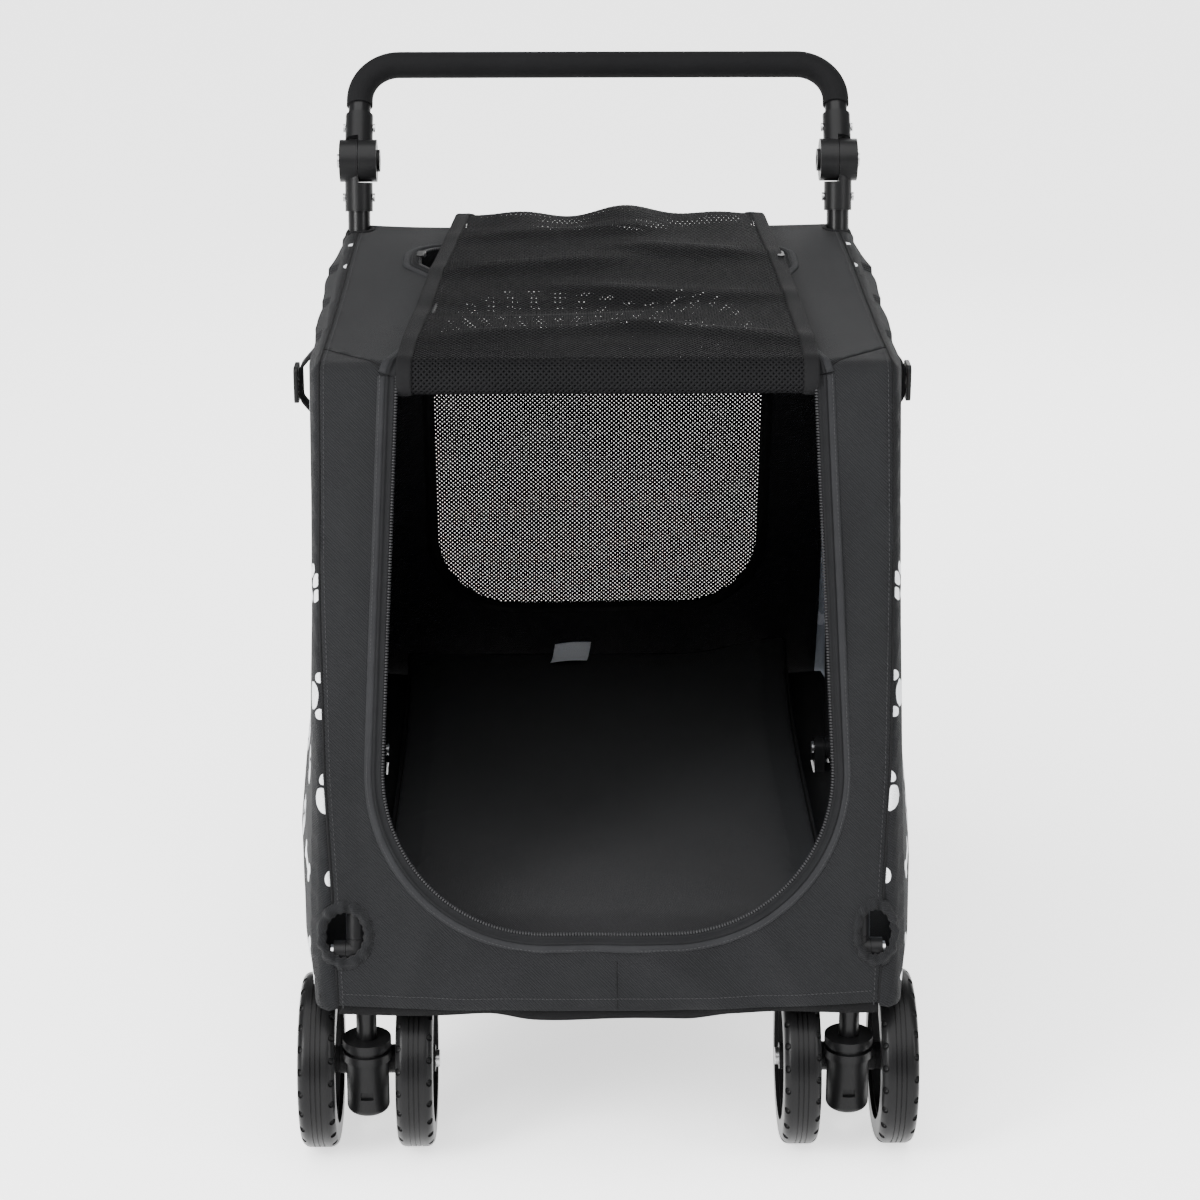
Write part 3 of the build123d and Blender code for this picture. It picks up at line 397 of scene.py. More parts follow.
def join(name, pieces):
    """One piece from several, keeping their cloth maps."""
    bpy.ops.object.select_all(action="DESELECT")
    for piece in pieces:
        piece.select_set(True)
    bpy.context.view_layer.objects.active = pieces[0]
    bpy.ops.object.join()
    pieces[0].name = name
    pieces[0].data.name = name
    return pieces[0]


def net(name, outline, place, step):
    """Net of two crossing families of threads, cut to a flat outline and set in place."""
    loop = array_of(outline)
    verts, faces, uvs = [], [], []
    for family in (1, -1):
        along = Vector((1, -family)).normalized()
        normal = Vector((family, 1)).normalized()
        reach = loop @ np.array(normal)
        spacing = NET_PITCH / sqrt(2)
        for index in range(ceil(reach.min() / spacing), floor(reach.max() / spacing) + 1):
            line = (index + 0.25) * spacing
            crossings = []
            for a, b, p, q in zip(reach, np.roll(reach, -1), loop, np.roll(loop, -1, axis=0)):
                if (a > line) != (b > line):
                    crossings.append(float((p + (q - p) * (line - a) / (b - a)) @ np.array(along)))
            crossings.sort()
            for start, end in zip(crossings[::2], crossings[1::2]):
                count = max(1, ceil((end - start) / step))
                first = len(verts)
                for i in range(count + 1):
                    middle = normal * line + along * mix(start, end, i / count)
                    for a, o in ((-1, 0), (0, -1), (1, 0), (0, 1)):
                        p = middle + normal * (a * NET_THREAD / 2)
                        verts.append(place(p.x, p.y, o * NET_THICK / 2))
                        uvs.append((a * NET_THREAD / 2, i * step))
                faces += prism_faces(count + 1, 4, first)
    return new_piece(name, verts, faces, uvs)


STITCH_PITCH = 0.0042


def stitches(name, route, place, lift, length=0.0028, radius=0.00035):
    """Row of thread stitches, one at each (point, heading) of a flat route."""
    verts, faces = [], []
    for (u, t), heading in route:
        ahead = Vector((cos(heading), sin(heading)))
        aside = Vector((-ahead.y, ahead.x))
        first = len(verts)
        for share in (-0.5, -0.25, 0.25, 0.5):
            arch = radius * (1.4 if abs(share) < 0.4 else -0.6)
            for a, o in ((-1, 0), (0, 1), (1, 0)):
                p = Vector((u, t)) + ahead * (share * length) + aside * (a * radius)
                verts.append(place(p.x, p.y, lift + arch + o * radius))
        faces += grid_faces(4, 3, first=first)
    sew(new_piece(name, verts, faces), THREAD, "oxford_cloth")


# Materials
class Shader:
    """Small helper that builds one procedural material."""

    def __init__(self, name):
        self.material = bpy.data.materials.new(name)
        self.material.use_nodes = True
        self.tree = self.material.node_tree
        self.surface = self.tree.nodes["Principled BSDF"]

    def node(self, kind, settings=None, **inputs):
        made = self.tree.nodes.new(kind)
        for key, value in (settings or {}).items():
            setattr(made, key, value)
        for key, value in inputs.items():
            self.feed(made.inputs[key.replace("_", " ")], value)
        return made

    def feed(self, socket, value):
        if isinstance(value, bpy.types.NodeSocket):
            self.tree.links.new(value, socket)
        else:
            socket.default_value = value

    def math(self, operation, *values):
        made = self.tree.nodes.new("ShaderNodeMath")
        made.operation = operation
        for socket, value in zip(made.inputs, values):
            self.feed(socket, value)
        return made.outputs[0]

    def set(self, **inputs):
        for key, value in inputs.items():
            self.feed(self.surface.inputs[key.replace("_", " ")], value)

    def cloth_map(self):
        flat = self.node("ShaderNodeUVMap", {"uv_map": "cloth"})
        parts = self.node("ShaderNodeSeparateXYZ", Vector=flat.outputs[0])
        return parts.outputs[0], parts.outputs[1]

    def noise(self, scale, detail=3.0, rough=0.55, place=None):
        place = place or self.node("ShaderNodeTexCoord").outputs["Object"]
        made = self.node("ShaderNodeTexNoise", Vector=place, Scale=scale, Detail=detail, Roughness=rough)
        return made.outputs[0]

    def between(self, share, low, high):
        """Number mixed from low to high by a share."""
        return self.node("ShaderNodeMapRange", Value=share, To_Min=low, To_Max=high).outputs[0]

    def tint(self, share, low, high):
        """Colour mixed from low to high by a share."""
        made = self.node("ShaderNodeMix", {"data_type": "RGBA"})
        self.feed(made.inputs[0], share)
        for socket, colour in ((made.inputs[6], low), (made.inputs[7], high)):
            self.feed(socket, colour if isinstance(colour, bpy.types.NodeSocket) else (*colour, 1.0))
        return made.outputs[2]

    def bump(self, height, depth, strength=1.0):
        made = self.node("ShaderNodeBump", Height=height, Distance=depth, Strength=strength)
        self.set(Normal=made.outputs[0])


def twill(shader, pitch):
    """Diagonal weave from the cloth map, from 0 in the gaps to 1 on the threads."""
    u, v = shader.cloth_map()
    turn = 2 * pi / pitch
    rib = shader.math("SINE", shader.math("MULTIPLY", shader.math("ADD", u, v), turn))
    weft = shader.math("SINE", shader.math("MULTIPLY", shader.math("SUBTRACT", u, v), turn * 1.6))
    both = shader.math("ADD", shader.math("MULTIPLY", rib, 0.6), shader.math("MULTIPLY", weft, 0.4))
    return shader.math("MULTIPLY_ADD", both, 0.5, 0.5)


def woven(name, dark, light, pitch=0.0034, sheen=0.03, mask=None, ink=None):
    """Woven cloth, with ink printed on it where a mask is given."""
    shader = Shader(name)
    weave = twill(shader, pitch)
    cloudy = shader.noise(9.0, 4.0)
    share = shader.math("ADD", shader.math("MULTIPLY", weave, 0.6), shader.math("MULTIPLY", cloudy, 0.4))
    colour = shader.tint(share, dark, light)
    if mask:
        inked = mask(shader)
        faded = shader.tint(share, tuple(0.86 * part for part in ink), ink)
        colour = shader.tint(inked, colour, faded)
    shader.set(Base_Color=colour, Roughness=shader.between(weave, 0.62, 0.85))
    shader.set(Specular_IOR_Level=0.08, Sheen_Weight=sheen, Sheen_Roughness=0.45)
    grain = shader.math("ADD", weave, shader.math("MULTIPLY", shader.noise(420.0, 2.0), 0.5))
    shader.bump(grain, 0.0007)
    return shader.material


PRINT_TILE = 0.090


def paw_print(shader):
    """Mask of scattered paws and bones, each in a tile of the cloth map with its own turn."""
    u, v = shader.cloth_map()
    row = shader.math("DIVIDE", v, PRINT_TILE)
    shift = shader.math("MULTIPLY", shader.math("FLOORED_MODULO", shader.math("FLOOR", row), 2.0), 0.5)
    column = shader.math("ADD", shader.math("DIVIDE", u, PRINT_TILE), shift)
    cell = shader.node("ShaderNodeCombineXYZ", X=shader.math("FLOOR", column), Y=shader.math("FLOOR", row))
    chance = shader.node("ShaderNodeTexWhiteNoise", {"noise_dimensions": "2D"}, Vector=cell.outputs[0])
    picks = shader.node("ShaderNodeSeparateColor", Color=chance.outputs["Color"]).outputs

    def centred(value, pick):
        jitter = shader.math("MULTIPLY_ADD", pick, 0.22, -0.61)
        return shader.math("ADD", shader.math("FRACT", value), jitter)

    x0, y0 = centred(column, picks[0]), centred(row, picks[1])
    angle = shader.math("MULTIPLY", picks[2], 2 * pi)
    cosine, sine = shader.math("COSINE", angle), shader.math("SINE", angle)
    x = shader.math("SUBTRACT", shader.math("MULTIPLY", x0, cosine), shader.math("MULTIPLY", y0, sine))
    y = shader.math("ADD", shader.math("MULTIPLY", x0, sine), shader.math("MULTIPLY", y0, cosine))
    across, along = shader.math("ABSOLUTE", x), shader.math("ABSOLUTE", y)

    def oval(px, py, cx, cy, rx, ry):
        ex = shader.math("DIVIDE", shader.math("SUBTRACT", px, cx), rx)
        ey = shader.math("DIVIDE", shader.math("SUBTRACT", py, cy), ry)
        return shader.math("ADD", shader.math("MULTIPLY", ex, ex), shader.math("MULTIPLY", ey, ey))

    paw = oval(x, y, 0.0, -0.11, 0.155, 0.115)
    for toe in ((0.205, 0.035, 0.060, 0.088), (0.076, 0.150, 0.064, 0.094)):
        paw = shader.math("MINIMUM", paw, oval(across, y, *toe))
    shaft = shader.math("MAXIMUM", shader.math("DIVIDE", across, 0.19), shader.math("DIVIDE", along, 0.048))
    bone = shader.math("MINIMUM", shaft, oval(across, along, 0.205, 0.052, 0.070, 0.064))
    is_bone = shader.math("GREATER_THAN", chance.outputs["Value"], 0.62)
    shape = shader.node("ShaderNodeMix", {"data_type": "FLOAT"})
    shader.feed(shape.inputs[0], is_bone)
    shader.feed(shape.inputs[2], paw)
    shader.feed(shape.inputs[3], bone)
    edge = shader.node("ShaderNodeMapRange", {"clamp": True}, Value=shape.outputs[0])
    for key, value in (("From Min", 1.08), ("From Max", 0.94), ("To Min", 0.0), ("To Max", 1.0)):
        edge.inputs[key].default_value = value
    return edge.outputs[0]


def ribbed(name, dark, light, across=0.0011, along=0.0016, sheen=0.02):
    """Narrow woven tape with ribs along it and a finer weave across."""
    shader = Shader(name)
    u, v = shader.cloth_map()
    rib = shader.math("SINE", shader.math("MULTIPLY", u, 2 * pi / across))
    weft = shader.math("SINE", shader.math("MULTIPLY", v, 2 * pi / along))
    weave = shader.math("MULTIPLY_ADD", shader.math("MULTIPLY", rib, weft), 0.5, 0.5)
    worn = shader.noise(35.0, 4.0)
    share = shader.math("MULTIPLY", shader.math("ADD", weave, worn), 0.5)
    shader.set(Base_Color=shader.tint(share, dark, light), Roughness=shader.between(weave, 0.62, 0.82))
    shader.set(Specular_IOR_Level=0.07, Sheen_Weight=sheen, Sheen_Roughness=0.35)
    shader.bump(weave, 0.00025)
    return shader.material


def moulded(name, dark, light, rough, grain, depth, spec):
    """Plastic, rubber or paint with a fine grain and uneven gloss."""
    shader = Shader(name)
    fine = shader.noise(grain, 3.0)
    patches = shader.noise(14.0, 5.0, 0.6)
    shader.set(Base_Color=shader.tint(patches, dark, light), Roughness=shader.between(patches, *rough))
    shader.set(Specular_IOR_Level=spec)
    shader.bump(fine, depth)
    return shader.material


def metal(name, colour, rough):
    shader = Shader(name)
    place = shader.node("ShaderNodeTexCoord").outputs["Object"]
    stretched = shader.node("ShaderNodeMapping", Vector=place, Scale=(40.0, 900.0, 900.0)).outputs[0]
    streaks = shader.noise(1.0, 4.0, 0.6, stretched)
    dull = tuple(0.7 * part for part in colour)
    shader.set(Base_Color=shader.tint(streaks, dull, colour), Roughness=shader.between(streaks, *rough))
    shader.set(Metallic=1.0)
    shader.bump(streaks, 0.0001, 0.4)
    return shader.material


def cool(level, blue):
    """Grey with a little more blue."""
    return level, level, level + blue


OXFORD = woven("oxford_cloth", (0.0020, 0.0021, 0.0024), (0.0150, 0.0153, 0.0165))
PRINT = woven(
    "print_cloth", (0.0020, 0.0021, 0.0024), (0.0130, 0.0133, 0.0145), mask=paw_print, ink=(0.74, 0.75, 0.77)
)
PRINT_BACK = woven(
    "print_cloth_back", (0.30, 0.33, 0.38), (0.42, 0.45, 0.50),
    sheen=0.02, mask=paw_print, ink=(0.70, 0.73, 0.78),
)
LINING = woven("lining_cloth", cool(0.0022, 0.0003), cool(0.0050, 0.0005), pitch=0.0016, sheen=0.02)
CUSHION = woven("cushion_cloth", cool(0.0060, 0.0005), cool(0.0170, 0.001), pitch=0.0026)
TAG = woven("tag_cloth", (0.84, 0.85, 0.88), (0.93, 0.94, 0.96), pitch=0.0012, sheen=0.1)
TAPE = ribbed("zip_tape", (0.0045, 0.0046, 0.0050), (0.0110, 0.0112, 0.0120))
# The facing is the same black cloth as the panels; its lighter colour is a painted sheen along its fold.
FACING_PAINTED_SHEEN = ribbed("zip_facing_painted_sheen", (0.0085, 0.0086, 0.0093), (0.0220, 0.0224, 0.0240))
RIBBON = ribbed("binding_ribbon", cool(0.0036, 0.0004), cool(0.0085, 0.0005), sheen=0.015)
WEBBING = ribbed("strap_webbing", cool(0.0040, 0.0004), cool(0.0105, 0.0007), 0.0022, 0.0032, sheen=0.04)
NET = moulded("net_thread", cool(0.0024, 0.0003), cool(0.0065, 0.0005), (0.5, 0.7), 900.0, 0.0001, 0.06)
THREAD = moulded("sewing_thread", cool(0.012, 0.001), cool(0.030, 0.002), (0.5, 0.7), 900.0, 0.0001, 0.2)
TUBE = moulded("powder_coat", cool(0.0040, 0.0003), cool(0.0065, 0.0003), (0.24, 0.34), 700.0, 0.00012, 0.15)
PLASTIC = moulded(
    "black_plastic", cool(0.0045, 0.0003), cool(0.0085, 0.0003), (0.28, 0.40), 1100.0, 0.00015, 0.11
)
TYRE = moulded("tyre_rubber", cool(0.0045, 0.0002), cool(0.0095, 0.0003), (0.24, 0.36), 500.0, 0.00012, 0.09)
RIM = moulded("rim_plastic", cool(0.0040, 0.0002), cool(0.0075, 0.0003), (0.30, 0.42), 900.0, 0.00012, 0.08)
FOAM = moulded("foam_grip", cool(0.0035, 0.0003), cool(0.0080, 0.0005), (0.72, 0.92), 900.0, 0.0006, 0.07)
# Dark nylon teeth with a real gloss. Their colour is also painted a little lighter than the cloth, as a
# painted highlight along the zip's edge. The sliders use it too.
COIL_PAINTED_HIGHLIGHT = moulded("zip_coil_painted_highlight", cool(0.007, 0.001), cool(0.018, 0.001), (0.30, 0.44), 900.0, 0.0001, 0.22)
STEEL = metal("steel", cool(0.62, 0.01), (0.22, 0.42))
BOARD = moulded("board", (0.010, 0.009, 0.008), (0.022, 0.020, 0.018), (0.6, 0.8), 120.0, 0.0004, 0.2)


# Finishes of the CAD pieces that stay in view
def dress_frame():
    finishes = {
        TUBE: ("front_cross_tube", "mid_cross_tube", "rear_cross_tube", "front_hoop_tube", "handle_bar",
               "caster_stems"),
        PLASTIC: ("tube_caps", "upright_lugs", "hoop_feet", "upright_feet", "knuckle_bases", "knuckle_caps"),
        STEEL: ("pivot_pins", "rear_axle", "knuckle_bolts", "upright_rivets", "handle_rivets"),
        FOAM: ("handle_grip",),
        BOARD: ("floor_board",),
    }
    sided = {
        TUBE: ("base_rail", "upright"),
        PLASTIC: ("front_corner", "rear_leg", "caster_housing", "brake_pedal", "knuckle_button"),
        STEEL: ("caster_axle",),
        TYRE: ("outer_tyre", "inner_tyre", "rear_tyre"),
        RIM: ("outer_rim", "inner_rim", "rear_rim"),
    }
    for material, names in finishes.items():
        for name in names:
            paint(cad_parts[name], material)
    for material, names in sided.items():
        for name in names:
            for side in ("left", "right"):
                paint(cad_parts[f"{side}_{name}"], material)


def lay(piece, slot, *nodes):
    """Let a piece ride on the base and stand for its CAD solids."""
    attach(piece, "base")
    if nodes:
        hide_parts(*nodes)


def soft_ride(piece, slot, *nodes):
    """The same for the cabin's cloth, which gets a mesh of its own."""
    lay(piece, slot, *nodes)
    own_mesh(piece)


def sew(piece, material, slot, *nodes):
    """Paint a piece of the cabin and let it ride."""
    soft_ride(paint(piece, material), slot, *nodes)


def seam(name, route, place, radius, squeeze=0.75, closed=False):
    """Raised seam along a flat route on a cloth."""
    line = sweep(name, skin_frames(route, place), ring_section(radius, squeeze), closed)
    sew(line, RIBBON, "oxford_cloth")


# Front panel
def door_path(grow=0.0):
    """U of the doorway on the front panel, from its top left corner round to its top right."""
    sill = DOOR_SILL - grow
    wide, narrow = DOOR_HALF + grow, DOOR_TOP_HALF + grow
    return RoundedPath(
        [(-narrow, DOOR_TOP_T), (-wide, sill), (wide, sill), (narrow, DOOR_TOP_T)],
        [DOOR_R + grow, DOOR_R + grow],
    )


def hem_t(u):
    return HEM_LIFT - HEM_SAG * (1 - min(1.0, (u / HEM_HALF) ** 2))


def roof_seam_t(u):
    """Where the front panel ends on the roof, beside the doorway."""
    return DOOR_TOP_T + SEAM_SLANT * max(0.0, abs(u) - DOOR_TOP_HALF) / (SEAM_HALF - DOOR_TOP_HALF)


def roof_seam():
    """Right half of the seam between the front panel and the roof, from the doorway outward."""
    return [(u, roof_seam_t(u)) for u in np.linspace(DOOR_TOP_HALF + 0.004, SEAM_HALF - 0.006, 10)]


def hole_pucker(u, t):
    """Gathers that the elastic pulls into the cloth round the corner holes."""
    side = 1 if u > 0 else -1
    middle, half = HOLES[side]
    dx, dy = (abs(u) - middle) / half, (t - HOLE_T) / HOLE_HALF_H
    reach = hypot(dx, dy)
    if reach > 3.5:
        return 0.0
    fade = exp(-((reach - 1.0) / 0.6) ** 2)
    return fade * (0.0018 * sin(11 * atan2(dy, dx) + 2 * side) + 0.0012)


FRONT_CREASES = (
    ((-0.06, 0.060), (-0.16, 0.005), 0.016, 0.0052),
    ((-0.02, 0.062), (0.03, 0.004), 0.018, -0.0042),
    ((0.02, 0.064), (0.11, 0.006), 0.017, 0.0062),
    ((0.10, 0.062), (0.16, 0.002), 0.014, -0.0036),
    ((0.15, 0.085), (0.20, 0.003), 0.015, 0.0048),
    ((-0.18, 0.090), (-0.21, 0.004), 0.014, 0.0038),
    ((-0.245, 0.13), (-0.255, 0.40), 0.016, -0.0032),
    ((0.250, 0.15), (0.262, 0.42), 0.015, 0.0030),
    ((0.245, 0.30), (0.255, 0.56), 0.015, -0.0028),
    ((-0.262, 0.33), (-0.250, 0.60), 0.017, 0.0028),
)


def front_wave(u, t):
    """How far the front panel's cloth stands out at a place."""
    height = sum(crease(u, t, *fold) for fold in FRONT_CREASES)
    height += 0.0012 * sin(31 * u + 9 * t) * sin(17 * t - 6 * u)
    low = 1 - ramp(t, 0.0, 0.06)
    height += 0.0022 * low * sin(46 * u) * sin(19 * u + 1.0)
    return max(height, FRONT_DIP) + hole_pucker(u, t)


def on_front(u, t, out=0.0):
    return shell(u, t, front_wave(u, t) + out)


def hole_cuts():
    return [oval_loop(side * middle, HOLE_T, half, HOLE_HALF_H) for side, (middle, half) in HOLES.items()]


def front_panel():
    left_side = [(-seam_half(t), t) for t in np.linspace(roof_seam_t(SEAM_HALF), HEM_LIFT, 84)]
    hem = [(u, hem_t(u)) for u in np.linspace(-seam_half(0), seam_half(0), 76)[1:-1]]
    right_top = roof_seam()[::-1]
    doorway = door_path().points(EDGE_STEP)[::-1]
    outline = left_side + hem + mirrored(left_side) + right_top + doorway + mirrored(right_top)
    piece = thicken(cloth("front_panel_cloth", outline, hole_cuts(), on_front), CLOTH)
    sew(piece, OXFORD, "oxford_cloth", "front_panel")


def front_trim():
    """Black facing behind the front's hem, and its short middle seam."""
    half, high, seam_u = 0.2735, 0.020, 0.0085

    def facing_t(u):
        ends = ramp(abs(u), 0.075, 0.125)
        return -mix(HEM_FACING, HEM_FACING_ENDS, ends) + 0.0010 * sin(41 * u + 0.4)

    lower = [(u, facing_t(u)) for u in np.linspace(-half, half, 90)]
    upper = [(u, high) for u in np.linspace(half, -half, 90)]
    facing = cloth("front_hem_facing", lower + upper, [], raised(on_front, -CLOTH - 0.0006))
    sew(thicken(facing, 0.0008), LINING, "oxford_cloth")
    path = RoundedPath([(seam_u, hem_t(seam_u) + 0.002), (seam_u, DOOR_SILL - 0.026)], [])
    seam("front_middle_seam", path.route(0.004), on_front, 0.0008, 0.7)


# Cross section of a zip's half: facing fold, tape, ridge and the line of teeth, from outside to the edge
ZIP_SECTION = (
    (-0.0165, 0.0001), (-0.0160, 0.0010), (-0.0148, 0.0016), (-0.0110, 0.0019), (-0.0094, 0.0016),
    (-0.0088, 0.0008), (-0.0082, 0.0010), (-0.0076, 0.0022), (-0.0064, 0.0028), (-0.0053, 0.0021),
    (-0.0046, 0.0010), (-0.0020, 0.0011), (-0.0008, 0.0020), (0.0010, 0.0018), (0.0022, 0.0006),
    (0.0022, -0.0012), (-0.0165, -0.0012),
)
FACING_EDGES = 5  # edges of the section that belong to the facing
TOOTH_SECTION = ((0.0012, 0.0002), (0.0042, 0.0002), (0.0046, 0.0012), (0.0030, 0.0026), (0.0012, 0.0024))
TOOTH_LONG = 0.0018
TOOTH_PITCH = 0.0030


def zip_band(name, path, place, *nodes):
    """Sewn-down zip tape along the edge of an opening, with its row of teeth."""
    tape = paint(sweep(name, skin_frames(path.route(0.006), place), ZIP_SECTION), TAPE, FACING_PAINTED_SHEEN)
    # The facing's faces take the lighter facing colour: a painted sheen along the fold of the black cloth.
    for index, face in enumerate(tape.data.polygons):
        face.material_index = 1 if index % len(ZIP_SECTION) < FACING_EDGES else 0
    soft_ride(tape, "zip_tape", *nodes)
    verts, faces = [], []
    for (u, t), heading in path.route(TOOTH_PITCH):
        ahead = Vector((cos(heading), sin(heading)))
        left = Vector((-ahead.y, ahead.x))
        faces += prism_faces(2, len(TOOTH_SECTION), len(verts))
        for run in (-TOOTH_LONG / 2, TOOTH_LONG / 2):
            for reach, rise in TOOTH_SECTION:
                p = Vector((u, t)) + ahead * run + left * reach
                verts.append(place(p.x, p.y, rise))
    sew(new_piece(f"{name}_teeth", verts, faces), COIL_PAINTED_HIGHLIGHT, "black_plastic")


def front_zip():
    zip_band("doorway_zip", door_path(), on_front, "front_zip")
    stitches("doorway_stitch", door_path(0.0140).route(STITCH_PITCH), on_front, 0.0016)


# Elastic rims of the corner holes
def hole_rims():
    around, rings = 96, 9
    for side, name in SIDES:
        middle, half = HOLES[side]
        verts, uvs = [], []
        for i in range(around):
            turn = 2 * pi * i / around
            gather = sin(17 * turn + 0.8 * sin(3 * turn))
            for j in range(rings):
                share = j / (rings - 1)
                inner = 1 - share
                grow = mix(0.90, 1.42, share) + 0.035 * gather * inner
                u = side * middle + half * grow * cos(turn)
                t = HOLE_T + HOLE_HALF_H * grow * sin(turn)
                lift = 0.0042 * sin(pi * min(1.0, share * 1.15))
                lift += 0.0016 * gather * inner - 0.0035 * inner ** 3
                verts.append(on_front(u, t, max(lift, -0.003) + 0.0004))
                uvs.append((share * 0.02, turn * 0.025))
        rim = new_piece(f"{name}_hole_rim", verts, grid_faces(around, rings, wrap_rows=True), uvs)
        sew(thicken(rim, 0.0010), OXFORD, "oxford_cloth")


# Roof
def roof_wave(u, t):
    height = 0.0012 * sin(23 * u + 1.0) * sin(14 * t)
    sag = sin(pi * ramp(t, ROOF_T, ROOF_END_T)) * ramp(abs(u), 0.20, 0.25) * (1 - ramp(abs(u), 0.25, 0.288))
    back = ramp(t, ROOF_END_T - 0.08, ROOF_END_T + 0.01)
    return height - 0.004 * sag - 0.007 * back * (1 - min(1.0, (u / HEM_HALF) ** 2))


def on_roof(u, t, out=0.0):
    return shell(u, t, roof_wave(u, t) + out)


OPEN_TUCK = 0.014  # how far the opening's edge lies below the mesh door's edge
OPEN_REAR_HALF = 0.2050
ZIP_OUT_T = OPEN_T - 0.125
OPEN_RADII = [0.060, 0.040, 0.030, ROOF_CORNER_R - 0.010]


def roof_open_path():
    """Edge of the roof opening, from the doorway's top right corner back and round to its top left.

    Its sides run below the mesh door's edges and come out beside them again at their rear ends.
    """
    right, left = (
        [
            (DOOR_TOP_HALF, DOOR_TOP_T),
            (broken_line(stops, FLAP_TOP_T) - OPEN_TUCK, ROOF_T + 0.040),
            (broken_line(stops, FLAP_TOP_T + ZIP_OUT_T - ROOF_T) - OPEN_TUCK, ZIP_OUT_T),
            (OPEN_REAR_HALF, ZIP_OUT_T + 0.050),
            (OPEN_REAR_HALF, OPEN_T),
        ]
        for stops in (FLAP_RIGHT, FLAP_LEFT)
    )
    return RoundedPath(right + [(-u, t) for u, t in reversed(left)], OPEN_RADII + OPEN_RADII[::-1])


# Where the uprights come through the cloth
TUBE_U = 0.2800
TUBE_T = ROOF_END_T - 0.017
TUBE_HOLE_R = 0.0165


def tube_cuts():
    """Bites at the roof's rear corners, where the uprights come through."""
    return [oval_loop(side * TUBE_U, TUBE_T, TUBE_HOLE_R, TUBE_HOLE_R, 28) for side, _ in SIDES]


def roof_panel():
    right_side = [(seam_half(t), t) for t in np.linspace(roof_seam_t(SEAM_HALF), REAR_T, 64)]
    back = [(u, REAR_T) for u in np.linspace(seam_half(REAR_T), -seam_half(REAR_T), 70)[1:-1]]
    opening = roof_open_path().points(EDGE_STEP)[::-1]
    outline = roof_seam() + right_side + back + mirrored(right_side) + mirrored(roof_seam()) + opening
    piece = thicken(cloth("roof_panel_cloth", outline, tube_cuts(), on_roof), CLOTH)
    sew(piece, OXFORD, "oxford_cloth", "roof_panel")
    zip_band("roof_zip", roof_open_path(), on_roof)


def zip_pullers():
    """Sliders with pull tabs, parked at the rear ends of the roof's zips."""
    body = [
        (-0.0045, -0.006), (0.0045, -0.006), (0.0055, 0.0), (0.0035, 0.006), (-0.0035, 0.006), (-0.0055, 0.0),
    ]
    tab = [
        (-0.0022, -0.004), (0.0022, -0.004), (0.0036, -0.014), (0.0042, -0.034), (0.0, -0.038),
        (-0.0042, -0.034), (-0.0036, -0.014),
    ]
    for side, name in SIDES:
        u, t = side * (OPEN_REAR_HALF - 0.0035), OPEN_T - 0.040
        for part, shape, low, high, tilt, material in (
            ("slider", body, 0.0018, 0.0062, 0.0, COIL_PAINTED_HIGHLIGHT),
            ("puller", tab, 0.0066, 0.0084, 0.10, PLASTIC),
        ):
            verts = [on_roof(u + a, t + b, lift + tilt * abs(b)) for lift in (low, high) for a, b in shape]
            piece = new_piece(f"{name}_roof_{part}", verts, prism_faces(2, len(shape), 0))
            piece.data.polygons.foreach_set("use_smooth", [False] * len(piece.data.polygons))
            rounded_edges(piece, 0.0006)
            sew(piece, material, "black_plastic")


# Rear panel
def rear_wave(u, t):
    height = 0.0014 * sin(19 * u) * sin(15 * t + 1.0)
    foot = ramp(t, CABIN.length - 0.16, CABIN.length - 0.02) * (1 - ramp(abs(u), 0.248, 0.280))
    return height + 0.0025 * foot * sin(38 * u + 0.6) + 0.0062 * foot


def on_rear(u, t, out=0.0):
    return shell(u, t, rear_wave(u, t) + out)


def window_path(inset=0.0):
    """Outline of the rear window, started at the middle of its foot."""
    half = WINDOW_HALF - inset
    low = CABIN.length - WINDOW_FOOT - inset
    high = CABIN.length - WINDOW_FOOT - WINDOW_TALL + inset
    radius = WINDOW_R - inset
    return RoundedPath(
        [(0, low), (half, low), (half, high), (-half, high), (-half, low), (0, low)], [radius] * 4
    )


def rear_panel():
    end = CABIN.length
    right_side = [(seam_half(t), t) for t in np.linspace(REAR_T, end, 84)]
    hem = [(u, end) for u in np.linspace(seam_half(end), -seam_half(end), 72)[1:-1]]
    top = [(u, REAR_T) for u in np.linspace(-seam_half(REAR_T), seam_half(REAR_T), 72)[1:-1]]
    window = window_path().points(EDGE_STEP)[:-1]
    piece = cloth("rear_panel_cloth", right_side + hem + mirrored(right_side) + top, [window], on_rear)
    sew(thicken(piece, CLOTH), OXFORD, "oxford_cloth", "rear_panel")
    mesh = net("rear_window_net", window_path(0.001).points(0.006)[:-1], raised(on_rear, -0.0008), 0.03)
    sew(mesh, NET, "net_cloth", "rear_window_mesh")
    frames = skin_frames(window_path(-0.004).route(0.006), on_rear)[:-1]
    for name, lift in (("rear_window_binding", 0.0), ("rear_window_facing", -CLOTH - 0.0012)):
        section = [(-0.007, lift), (-0.006, lift + 0.0011), (0.006, lift + 0.0011), (0.007, lift)]
        sew(sweep(name, frames, section, closed=True), RIBBON, "oxford_cloth")


# Side panels
def side_profile(step=0.002):
    """The cabin's side view drawn in by the edge's radius: points, outward normals and cloth margins."""
    points, normals, margins = [], [], []
    for t in np.arange(0.0, CABIN.length + step / 2, step):
        (y, z), heading = CABIN.at(t)
        normal = Vector((-sin(heading), cos(heading)))
        points.append(Vector((y, z)) - normal * EDGE_R)
        normals.append(normal)
        margins.append(EDGE_FLAT + EDGE_TURN - seam_half(t))
    return points, normals, margins


